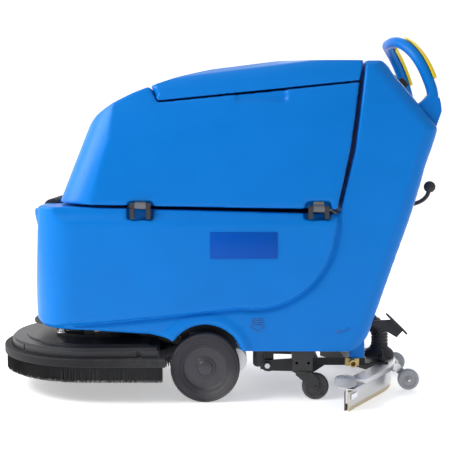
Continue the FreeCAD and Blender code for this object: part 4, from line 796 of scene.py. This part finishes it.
def build_body():
    """The lower body shell with its labels and raised marks, and the tie-down plate."""
    sizes = bpy.context.scene.scrubber_sizes
    mesh = moulded("body_shell", "solution_tank", sizes.shell_voxel, sizes.edge_soften, shape_body)
    add_piece("body_shell", mesh, "chassis", "blue_plastic", "rotomoulded_blue",
              replaces=("solution_tank",))
    for word, side in (("left", -1), ("right", 1)):
        bm = bmesh.new()
        block(bm, (0.0827, side * (PANEL_FACE_Y + 0.0010), 0.4561), (0.1905, 0.0040, 0.0745),
              0.0015)
        add_piece(word + "_label_plate", to_mesh(word + "_label_plate", bm), "chassis",
                  "blue_plastic", "label_blue")
        bm = bmesh.new()
        face = side * (SILL_FACE_Y + 0.0010)
        for x in (0.108, 0.138):
            block(bm, (x, face, 0.231), (0.0022, 0.0024, 0.026), 0.0006)
        block(bm, (0.123, face, 0.2435), (0.032, 0.0024, 0.0022), 0.0006)
        for row in range(3):
            block(bm, (0.123, face, 0.238 - row * 0.0066), (0.023, 0.0022, 0.0032), 0.0006)
        for way in (-1, 1):
            block(bm, (0.123 + way * 0.0105, face, 0.2135), (0.0255, 0.0024, 0.0022), 0.0006,
                  Matrix.Rotation(math.radians(way * -34), 3, "Y"))
        add_piece(word + "_drain_mark", to_mesh(word + "_drain_mark", bm), "chassis",
                  "blue_plastic", "emboss_blue")
        bm = lathe([(0.0032, 0), (0.0052, 0), (0.0052, 0.0022), (0.0032, 0.0022)], 28)
        turned_to(bm, (0.352, side * (SILL_FACE_Y - 0.0008), 0.207), (0, side, 0))
        for x, z, length, tilt in ((0.367, 0.2085, 0.014, 6), (0.3775, 0.211, 0.010, 24),
                                   (0.3825, 0.2155, 0.008, 84)):
            block(bm, (x, face, z), (length, 0.0022, 0.0024), 0.0006,
                  Matrix.Rotation(math.radians(-tilt), 3, "Y"))
        add_piece(word + "_tap_mark", to_mesh(word + "_tap_mark", bm), "chassis",
                  "blue_plastic", "emboss_blue")
    crisp("front_plate", "black_steel", "black_plastic", 0.0015, 3)
    crisp("filler_cap", "black_plastic", "black_plastic", 0.003, 3)


# ---------------------------------------------------------------- recovery tank and lid

def build_tank():
    """The tilting recovery tank, its hinges and the float cage inside it."""
    sizes = bpy.context.scene.scrubber_sizes
    mesh = moulded("tank_shell", "recovery_tank", sizes.shell_voxel, sizes.edge_soften + 2)
    add_piece("tank_shell", mesh, "recovery_tank", "blue_plastic", "rotomoulded_blue",
              replaces=("recovery_tank",))
    crisp("tank_hinge_blocks", "black_plastic", "black_plastic", 0.0016, 3)
    crisp("tank_hinge_sleeves", "grey_plastic", "sleeve_grey", 0.0008)
    crisp("float_cage", "black_plastic", "soft_black", 0.001)


def shape_lid(points):
    """Rounds the lid's four corners, as seen from above."""
    radius = bpy.context.scene.scrubber_sizes.lid_corner
    slope = 0.126
    x, y, z = points.T
    level = z - slope * x
    middle = np.abs(y) < 0.10
    heights, fronts = profile_of(points, middle, z, 0.862, 0.975, 24, lambda i: x[i].min())
    rear_heights, rears = profile_of(points, middle, z, 0.90, 0.98, 16, lambda i: x[i].max())
    centre = (x > 0.0) & (x < 0.25)
    levels, widths = profile_of(points, centre, level, 0.86, 0.985, 26,
                                lambda i: np.abs(y[i]).max())
    side = np.interp(level, levels, widths) - np.abs(y)
    fronts = np.minimum.accumulate(fronts)
    rears = np.maximum.accumulate(rears[::-1])[::-1]
    for toward, distance in ((1, x - np.interp(z, heights, fronts)),
                             (-1, np.interp(z, rear_heights, rears) - x)):
        size = radius if toward > 0 else radius * 0.5
        along, across = corner_shift(distance, side, size)
        points[:, 0] += toward * along
        points[:, 1] -= np.sign(y) * across
    return points


def build_lid():
    """The lid over the recovery tank."""
    sizes = bpy.context.scene.scrubber_sizes
    mesh = moulded("lid_shell", "tank_lid", sizes.lid_voxel, sizes.edge_soften * 2, shape_lid)
    add_piece("lid_shell", mesh, "lid", "blue_plastic", "lid_blue", replaces=("tank_lid",))


# ---------------------------------------------------------------- handle and controls

def build_handle():
    """The handle bow on its shoes and the two yellow drive paddles."""
    mesh = moulded("handle_tube", "handle_bow", 0.0024, 5)
    add_piece("handle_tube", mesh, "chassis", "blue_plastic", "rotomoulded_blue",
              replaces=("handle_bow",))
    for word in ("left", "right"):
        mesh = moulded(word + "_paddle_grip", word + "_paddle", 0.0016, 5)
        add_piece(word + "_paddle_grip", mesh, word + "_paddle", "yellow_plastic",
                  "paddle_yellow", replaces=(word + "_paddle",))


def build_controls():
    """The panel with its display, buttons, key switch and water dial."""
    crisp("control_panel", "black_plastic", "panel_black", 0.002, 3)
    place = slope_matrix()
    turn = place.to_3x3()
    bm = bmesh.new()
    block(bm, place @ Vector((0.035, 0, 0.0062)), (0.0256, 0.0996, 0.003), 0.0012, turn)
    add_piece("display_glass", to_mesh("display_glass", bm), "chassis", "black_plastic",
              "display_dark")
    bm = bmesh.new()
    for step in range(5):
        block(bm, place @ Vector((0.035, -0.032 + 0.016 * step, 0.0077)),
              (0.009, 0.007, 0.0006), 0.0003, turn)
    add_piece("charge_marks", to_mesh("charge_marks", bm), "chassis", "black_plastic",
              "button_green")
    for name, colour in (("brush_button", "button_green"), ("suction_button", "button_blue"),
                         ("water_button", "button_blue")):
        crisp(name, "black_plastic", colour, 0.0016, 3)
    bm = bmesh.new()
    for step in range(9):
        angle = math.radians(-135 + 270 * step / 8)
        spot = place @ Vector((0.044 - 0.0195 * math.cos(angle),
                               -0.146 + 0.0195 * math.sin(angle), 0.0077))
        block(bm, spot, (0.0022 + 0.0004 * step, 0.0011, 0.0005), 0.0002,
              turn @ Matrix.Rotation(-angle, 3, "Z"))
    for y in (-0.060, 0.0, 0.060):
        block(bm, place @ Vector((0.080, y, 0.0077)), (0.0014, 0.012, 0.0005), 0.0002, turn)
    add_piece("panel_markings", to_mesh("panel_markings", bm), "chassis", "black_plastic",
              "marking_white")
    crisp("ignition_key", "plated_steel", "bright_steel", 0.0008)
    crisp("water_dial", "black_plastic", "black_plastic", 0.002, 3)
    bm = bmesh.new()
    block(bm, place @ Vector((0.036, -0.146, 0.0232)), (0.011, 0.0016, 0.0008), 0.0003, turn)
    for step in range(20):
        angle = 2 * math.pi * step / 20
        block(bm, place @ Vector((0.044 + 0.0150 * math.cos(angle),
                                  -0.146 + 0.0150 * math.sin(angle), 0.015)),
              (0.0014, 0.0018, 0.011), 0.0005, turn @ Matrix.Rotation(angle, 3, "Z"))
    add_piece("dial_grip_ribs", to_mesh("dial_grip_ribs", bm), "water_dial", "black_plastic",
              "black_plastic")


# ---------------------------------------------------------------- brush deck

DECK_X = -0.362


def skirt_walk(radius, rear_x, steps):
    """Even steps along the skirt from its rear left end round the nose to its rear right end:
    place and outward direction."""
    straight = rear_x - DECK_X
    whole = 2 * straight + math.pi * radius
    for step in range(steps):
        at = whole * (step + 0.5) / steps
        if at < straight:
            yield Vector((rear_x - at, -radius, 0)), Vector((0, -1, 0))
        elif at > whole - straight:
            yield Vector((rear_x - (whole - at), radius, 0)), Vector((0, 1, 0))
        else:
            turn = -math.pi / 2 - (at - straight) / radius
            out = Vector((math.cos(turn), math.sin(turn), 0))
            yield Vector((DECK_X, 0, 0)) + out * radius, out


def add_tuft(bm, root, tip, width, way):
    """Adds one tapering tuft of bristles."""
    along = (tip - root).normalized()
    side = along.cross(way).normalized()
    low, high = [], []
    for turn in (0.0, 2.094, 4.189):
        out = math.cos(turn) * side + math.sin(turn) * way
        low.append(bm.verts.new(root + out * width))
        high.append(bm.verts.new(tip + out * width * 0.42))
    for step in range(3):
        after = (step + 1) % 3
        bm.faces.new((low[step], low[after], high[after], high[step]))
    bm.faces.new(high)


def build_deck():
    """The deck cover, its skirt with bristles, the disc brush and the bracket with the motor."""
    sizes = bpy.context.scene.scrubber_sizes
    dice = random.Random(11)
    crisp("deck_cover", "black_plastic", "deck_plastic", 0.0028, 4)
    crisp("skirt_band", "black_plastic", "band_grey", 0.003, 3)
    low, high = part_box("bristle_skirt")
    bm = bmesh.new()
    for row, radius in enumerate((0.2748, 0.2785, 0.2822)):
        for place, out in skirt_walk(radius, high[0] - 0.003, sizes.bristle_tufts):
            sway = dice.uniform(-0.0016, 0.0016)
            along = Vector((-out.y, out.x, 0))
            root = place + Vector((0, 0, high[2]))
            tip = place + along * sway + out * dice.uniform(-0.001, 0.0012)
            tip.z = low[2] + abs(dice.gauss(0, 0.0012))
            add_tuft(bm, root, tip, 0.00155, out)
    steps = 160
    inner = [(place, out) for place, out in skirt_walk(0.276, high[0] - 0.003, steps)]
    for thick in (-0.001, 0.003):
        rows = [[bm.verts.new(place + out * thick + Vector((0, 0, height)))
                 for height in (low[2] + 0.007, high[2])] for place, out in inner]
        for first, second in zip(rows, rows[1:]):
            bm.faces.new((first[0], second[0], second[1], first[1]))
    mesh = bpy.data.meshes.new("skirt_bristles")
    bm.to_mesh(mesh)
    bm.free()
    add_piece("skirt_bristles", mesh, "deck", "black_rubber", "bristle_black",
              replaces=("bristle_skirt",), smooth=False)

    low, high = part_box("brush_bristles")
    bm = bmesh.new()
    outer = high[0] - DECK_X
    for ring in range(12):
        radius = outer - 0.006 - ring * 0.0135
        count = int(2 * math.pi * radius / 0.013)
        for step in range(count):
            turn = 2 * math.pi * (step + 0.5 * (ring % 2)) / count
            out = Vector((math.cos(turn), math.sin(turn), 0))
            root = Vector((DECK_X, 0, high[2])) + out * radius
            tip = root + out * dice.uniform(-0.001, 0.0015)
            tip.z = low[2] + dice.uniform(0.0, 0.0015)
            add_tuft(bm, root, tip, 0.0042, out)
    mesh = bpy.data.meshes.new("brush_tufts")
    bm.to_mesh(mesh)
    bm.free()
    add_piece("brush_tufts", mesh, "brush", "black_rubber", "bristle_black",
              replaces=("brush_bristles",), smooth=False)
    crisp("brush_plate", "black_plastic", "soft_black", 0.001)
    crisp("deck_bracket", "black_steel", "black_steel", 0.0012)
    crisp("brush_motor", "black_steel", "black_steel", 0.0015)

    bm = lathe(rounded_profile([
        (0.0, 0.0, 0), (0.0165, 0.0, 0.001), (0.0165, 0.005, 0.0015), (0.011, 0.0075, 0.002),
        (0.0105, 0.012, 0.002), (0.0175, 0.0155, 0.002), (0.0175, 0.0225, 0.003),
        (0.009, 0.0265, 0.004), (0.0, 0.027, 0)]), 48, closed=False)
    turned_to(bm, (-0.461, -0.100, 0.1722), (0, 0, 1))
    add_piece("brush_release_knob", to_mesh("brush_release_knob", bm), "deck", "plated_steel",
              "bright_steel")
    bm = bmesh.new()
    for side in (-1, 1):
        hexagon_bolt(bm, (-0.353, side * 0.126, 0.183), (0, side, 0), 0.010, 0.0045, 0.0085)
        hexagon_bolt(bm, (-0.405, side * 0.070, 0.177), (0, 0, 1), 0.010, 0.0045, 0.008)
        hexagon_bolt(bm, (-0.270, side * 0.070, 0.177), (0, 0, 1), 0.010, 0.0045, 0.008)
    add_piece("deck_bolts", to_mesh("deck_bolts", bm), "deck", "plated_steel", "zinc_steel")


def build_deck_arms():
    """The lifting arms, the levelling link and the foot pedal with its rubber pad."""
    crisp("deck_lift_arm", "black_steel", "black_steel", 0.001)
    crisp("deck_link", "black_steel", "black_steel", 0.001)
    crisp("deck_pedal", "black_plastic", "black_plastic", 0.0015, 3)
    bm = bmesh.new()
    place = Matrix.Translation((0.5455, -0.120, 0.2056)) @ Matrix.Rotation(
        math.radians(43.8), 4, "Y")
    for step in range(6):
        block(bm, place @ Vector((-0.0255 + step * 0.0102, 0, 0.0003)), (0.0058, 0.086, 0.0022),
              0.0008, place.to_3x3())
    add_piece("pedal_tread", to_mesh("pedal_tread", bm), "pedal", "black_plastic", "band_grey")


# ---------------------------------------------------------------- running gear

def turned_piece(name, corners, centre, axis, body, slot, finishes, limits=(), replaces=(),
                 segments=96):
    """A turned piece round an axis. Faces nearer the axis than a limit take a later finish."""
    bm = lathe(rounded_profile(corners), segments,
               closed=not (corners[0][0] == 0 and corners[-1][0] == 0))
    bmesh.ops.recalc_face_normals(bm, faces=bm.faces)
    for piece_face in bm.faces:
        middle = piece_face.calc_center_median()
        reach = math.hypot(middle.x, middle.y)
        piece_face.material_index = sum(reach < limit for limit in limits)
    turned_to(bm, centre, axis)
    return add_piece(name, to_mesh(name, bm), body, slot, *finishes, replaces=replaces)


TYRE = [(0.0660, 0.0040, 0.0008), (0.0700, 0.0010, 0.002), (0.0880, 0.0005, 0.003),
        (0.0998, 0.0070, 0.006), (0.1000, 0.0140, 0.0008), (0.0988, 0.0150, 0.0006),
        (0.0988, 0.0162, 0.0006), (0.1000, 0.0172, 0.0008), (0.1000, 0.0243, 0.0008),
        (0.0988, 0.0250, 0.0006), (0.0988, 0.0262, 0.0006), (0.1000, 0.0270, 0.0008),
        (0.1000, 0.0340, 0.0008), (0.0988, 0.0350, 0.0006), (0.0988, 0.0362, 0.0006),
        (0.1000, 0.0372, 0.0008), (0.0998, 0.0430, 0.005), (0.0955, 0.0480, 0.002),
        (0.0925, 0.0482, 0.001), (0.0912, 0.0470, 0.0008), (0.0895, 0.0484, 0.001),
        (0.0860, 0.0496, 0.002), (0.0750, 0.0496, 0.0025), (0.0720, 0.0470, 0.001),
        (0.0660, 0.0470, 0.0005)]
RIM = [(0.0, 0.0508, 0), (0.0100, 0.0505, 0.004), (0.0200, 0.0478, 0.004),
       (0.0236, 0.0425, 0.002), (0.0290, 0.0412, 0.002), (0.0310, 0.0386, 0.0015),
       (0.0350, 0.0378, 0.001), (0.0600, 0.0372, 0.004), (0.0640, 0.0440, 0.002),
       (0.0659, 0.0442, 0.0004), (0.0659, 0.0042, 0.0004), (0.0590, 0.0042, 0.001),
       (0.0560, 0.0150, 0.002), (0.0240, 0.0170, 0.003), (0.0220, -0.0080, 0.001),
       (0.0100, -0.0080, 0.001), (0.0100, -0.0680, 0.001), (0.0, -0.0680, 0)]


def build_wheels():
    """Drive wheels with their rims, and the two swivel casters."""
    for word, side in (("left", -1), ("right", 1)):
        low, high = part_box(word + "_tyre")
        inner_y = high[1] if side < 0 else low[1]
        centre = ((low[0] + high[0]) / 2, inner_y, (low[2] + high[2]) / 2)
        turned_piece(word + "_tyre_tread", TYRE, centre, (0, side, 0), word + "_wheel",
                     "grey_rubber", ("tyre_grey",), replaces=(word + "_tyre",), segments=128)
        turned_piece(word + "_rim_dish", RIM, centre, (0, side, 0), word + "_wheel",
                     "grey_plastic", ("rim_grey",), replaces=(word + "_rim",))
        crisp(word + "_caster_fork", "plated_steel", "black_steel", 0.001)
        low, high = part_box(word + "_caster_wheel")
        width = high[1] - low[1]
        middle = ((low[0] + high[0]) / 2, (low[1] + high[1]) / 2 - side * width / 2,
                  (low[2] + high[2]) / 2)
        corners = [(0.0055, 0, 0.0005), (0.0120, 0, 0.001), (0.0150, 0.003, 0.001),
                   (0.0250, 0.003, 0.001), (0.0270, 0.001, 0.001), (0.0340, 0.001, 0.003),
                   (0.0389, 0.007, 0.004), (0.0390, width / 2, 0.002)]
        mirrored = [(radius, width - height, rounding)
                    for radius, height, rounding in corners[-2::-1]]
        turned_piece(word + "_caster_tyre", corners + mirrored, middle, (0, side, 0),
                     word + "_caster_wheel", "grey_rubber", ("tyre_grey", "wheel_light_grey"),
                     limits=(0.0262,), replaces=(word + "_caster_wheel",), segments=64)


def build_chassis():
    """The steel frame, brackets, motors, batteries and fittings under and inside the body."""
    for node, slot, finish_name, bevel in (
            ("chassis_frame", "black_steel", "black_steel", 0.0012),
            ("caster_brackets", "black_steel", "black_steel", 0.0012),
            ("battery_pack", "black_plastic", "battery_grey", 0.003),
            ("suction_motor", "black_plastic", "soft_black", 0.001),
            ("drive_gearmotor", "cast_aluminium", "cast_aluminium", 0.0015),
            ("water_filter", "black_plastic", "black_plastic", 0.0012),
            ("drain_valve", "brass", "brass", 0.001),
            ("lever_bracket", "black_steel", "black_steel", 0.0008),
            ("pivot_bolts", "plated_steel", "zinc_steel", 0.0006)):
        crisp(node, slot, finish_name, bevel)


# ---------------------------------------------------------------- squeegee

def build_squeegee():
    """The squeegee with its arm, blades, strap, latch, neck, knobs, wheels and rollers."""
    crisp("squeegee_arm", "black_steel", "black_steel", 0.0012)
    crisp("squeegee_casting", "cast_aluminium", "cast_aluminium", 0.0014, 3)
    crisp("squeegee_axles", "plated_steel", "zinc_steel", 0.0006)
    crisp("front_blade", "black_rubber", "blade_black", 0.0006)
    crisp("rear_blade", "tan_rubber", "blade_tan", 0.0006)
    crisp("blade_strap", "plated_steel", "zinc_steel", 0.0005)
    crisp("strap_latch", "plated_steel", "bright_steel", 0.0007)
    crisp("suction_neck", "black_plastic", "black_plastic", 0.001)
    for word, side in (("left", -1), ("right", 1)):
        crisp(word + "_squeegee_knob", "black_plastic", "black_plastic", 0.0015, 3)
        low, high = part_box(word + "_squeegee_wheel")
        width = high[1] - low[1]
        middle = ((low[0] + high[0]) / 2, (low[1] + high[1]) / 2 - side * width / 2,
                  (low[2] + high[2]) / 2)
        corners = [(0.0041, 0, 0.0004), (0.0100, 0, 0.001), (0.0125, 0.003, 0.001),
                   (0.0210, 0.003, 0.001), (0.0225, 0.001, 0.0008), (0.0285, 0.001, 0.002),
                   (0.0319, 0.005, 0.003), (0.0320, width / 2, 0.002)]
        mirrored = [(radius, width - height, rounding)
                    for radius, height, rounding in corners[-2::-1]]
        turned_piece(word + "_rear_wheel", corners + mirrored, middle, (0, side, 0),
                     word + "_squeegee_wheel", "grey_rubber",
                     ("wheel_light_grey", "black_plastic", "zinc_steel"),
                     limits=(0.0222, 0.0105), replaces=(word + "_squeegee_wheel",), segments=64)
        low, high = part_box(word + "_bumper_roller")
        tall = high[2] - low[2]
        middle = ((low[0] + high[0]) / 2, (low[1] + high[1]) / 2, low[2])
        corners = [(0.0041, 0, 0.0004), (0.0110, 0, 0.001), (0.0130, 0.002, 0.001),
                   (0.0200, 0.002, 0.001), (0.0260, 0, 0.002), (0.0309, 0.005, 0.003),
                   (0.0309, tall - 0.005, 0.003), (0.0265, tall, 0.0015),
                   (0.0235, tall, 0.0008), (0.0225, tall - 0.0015, 0.0008),
                   (0.0165, tall - 0.0015, 0.0008), (0.0155, tall, 0.0008),
                   (0.0110, tall, 0.0008), (0.0100, tall - 0.0015, 0.0008),
                   (0.0041, tall - 0.0015, 0.0004)]
        turned_piece(word + "_roller", corners, middle, (0, 0, 1), word + "_bumper",
                     "grey_rubber", ("wheel_light_grey",), replaces=(word + "_bumper_roller",),
                     segments=64)


HOSE_LINE = [(0.514, 0, 0.1206), (0.514, 0, 0.140), (0.5115, 0, 0.160), (0.497, 0, 0.1785),
             (0.474, 0, 0.191), (0.449, 0, 0.2035)]


def build_hose():
    """The corrugated suction hose from the squeegee's neck into the column."""
    pitch = bpy.context.scene.scrubber_sizes.hose_ring_pitch
    length = sum((Vector(b) - Vector(a)).length for a, b in zip(HOSE_LINE, HOSE_LINE[1:]))
    steps = int(length / pitch) * 8
    points = smooth_path(HOSE_LINE, steps)
    radii = [0.0246 + 0.0024 * max(0.0, math.cos(2 * math.pi * step / 8)) ** 0.6
             for step in range(steps + 1)]
    bm = bmesh.new()
    sweep(bm, points, radii, 48)
    hose = add_piece("corrugated_hose", to_mesh("corrugated_hose", bm), None,
                     "black_rubber", "hose_black", replaces=("suction_hose",))
    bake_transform(hose)


def build_lever():
    """The lever on the column that lifts the squeegee."""
    crisp("squeegee_lever", "black_plastic", "black_plastic", 0.0008)


# ---------------------------------------------------------------- operators

class SCRUBBER_OT_stage(Operator):
    """Make the floor, the lights and the camera"""

    bl_idname = "scrubber.stage"
    bl_label = "Stage and camera"

    def execute(self, context):
        build_stage()
        return {"FINISHED"}


class SCRUBBER_OT_finishes(Operator):
    """Make every material of the machine"""

    bl_idname = "scrubber.finishes"
    bl_label = "Finishes"

    def execute(self, context):
        make_finishes(context.scene.scrubber_colours)
        return {"FINISHED"}


class SCRUBBER_OT_body(Operator):
    """Make the lower body shell with its labels and the plate under its nose"""

    bl_idname = "scrubber.body"
    bl_label = "Lower body"

    def execute(self, context):
        build_body()
        return {"FINISHED"}


class SCRUBBER_OT_tank(Operator):
    """Make the tilting recovery tank and its hinges"""

    bl_idname = "scrubber.tank"
    bl_label = "Recovery tank"

    def execute(self, context):
        build_tank()
        return {"FINISHED"}


class SCRUBBER_OT_lid(Operator):
    """Make the lid of the recovery tank"""

    bl_idname = "scrubber.lid"
    bl_label = "Lid"

    def execute(self, context):
        build_lid()
        return {"FINISHED"}


class SCRUBBER_OT_handle(Operator):
    """Make the handle bow and the drive paddles"""

    bl_idname = "scrubber.handle"
    bl_label = "Handle and paddles"

    def execute(self, context):
        build_handle()
        return {"FINISHED"}


class SCRUBBER_OT_controls(Operator):
    """Make the control panel with its buttons, key and dial"""

    bl_idname = "scrubber.controls"
    bl_label = "Controls"

    def execute(self, context):
        build_controls()
        return {"FINISHED"}


class SCRUBBER_OT_deck(Operator):
    """Make the brush deck with its skirt, brush and motor"""

    bl_idname = "scrubber.deck"
    bl_label = "Brush deck"

    def execute(self, context):
        build_deck()
        return {"FINISHED"}


class SCRUBBER_OT_deck_arms(Operator):
    """Make the deck's lifting arms, its link and the foot pedal"""

    bl_idname = "scrubber.deck_arms"
    bl_label = "Deck arms and pedal"

    def execute(self, context):
        build_deck_arms()
        return {"FINISHED"}


class SCRUBBER_OT_chassis(Operator):
    """Make the steel frame, motors, batteries and fittings"""

    bl_idname = "scrubber.chassis"
    bl_label = "Chassis"

    def execute(self, context):
        build_chassis()
        return {"FINISHED"}


class SCRUBBER_OT_wheels(Operator):
    """Make the drive wheels and the casters"""

    bl_idname = "scrubber.wheels"
    bl_label = "Wheels and casters"

    def execute(self, context):
        build_wheels()
        return {"FINISHED"}


class SCRUBBER_OT_squeegee(Operator):
    """Make the squeegee with its blades, wheels and rollers"""

    bl_idname = "scrubber.squeegee"
    bl_label = "Squeegee"

    def execute(self, context):
        build_squeegee()
        return {"FINISHED"}


class SCRUBBER_OT_hose(Operator):
    """Make the corrugated suction hose"""

    bl_idname = "scrubber.hose"
    bl_label = "Suction hose"

    def execute(self, context):
        build_hose()
        return {"FINISHED"}


class SCRUBBER_OT_lever(Operator):
    """Make the lever that lifts the squeegee"""

    bl_idname = "scrubber.lever"
    bl_label = "Squeegee lever"

    def execute(self, context):
        build_lever()
        return {"FINISHED"}


STEPS = ("stage", "finishes", "body", "tank", "lid", "handle", "controls", "deck", "deck_arms",
         "chassis", "wheels", "squeegee", "hose", "lever")


class SCRUBBER_PT_panel(Panel):
    """Lists the machine's sizes, colours and pieces"""

    bl_idname = "SCRUBBER_PT_panel"
    bl_label = "Floor Scrubber"
    bl_space_type = "VIEW_3D"
    bl_region_type = "UI"
    bl_category = "Scrubber"

    def draw(self, context):
        column = self.layout.column()
        for settings in (context.scene.scrubber_sizes, context.scene.scrubber_colours):
            for name in settings.__annotations__:
                column.prop(settings, name)
        for step in STEPS:
            column.operator("scrubber." + step)


CLASSES = (
    ScrubberColours, ScrubberSizes, SCRUBBER_OT_stage, SCRUBBER_OT_finishes, SCRUBBER_OT_body,
    SCRUBBER_OT_tank, SCRUBBER_OT_lid, SCRUBBER_OT_handle, SCRUBBER_OT_controls,
    SCRUBBER_OT_deck, SCRUBBER_OT_deck_arms, SCRUBBER_OT_chassis, SCRUBBER_OT_wheels,
    SCRUBBER_OT_squeegee, SCRUBBER_OT_hose, SCRUBBER_OT_lever, SCRUBBER_PT_panel,
)


def register():
    """Registers the classes and puts the settings on the scene."""
    for cls in CLASSES:
        bpy.utils.register_class(cls)
    bpy.types.Scene.scrubber_colours = PointerProperty(type=ScrubberColours)
    bpy.types.Scene.scrubber_sizes = PointerProperty(type=ScrubberSizes)


def unregister():
    """Takes the settings and the classes away again."""
    del bpy.types.Scene.scrubber_sizes
    del bpy.types.Scene.scrubber_colours
    for cls in reversed(CLASSES):
        bpy.utils.unregister_class(cls)


def main():
    """Makes the whole machine."""
    register()
    for step in STEPS:
        getattr(bpy.ops.scrubber, step)()


if __name__ == "__main__":
    main()
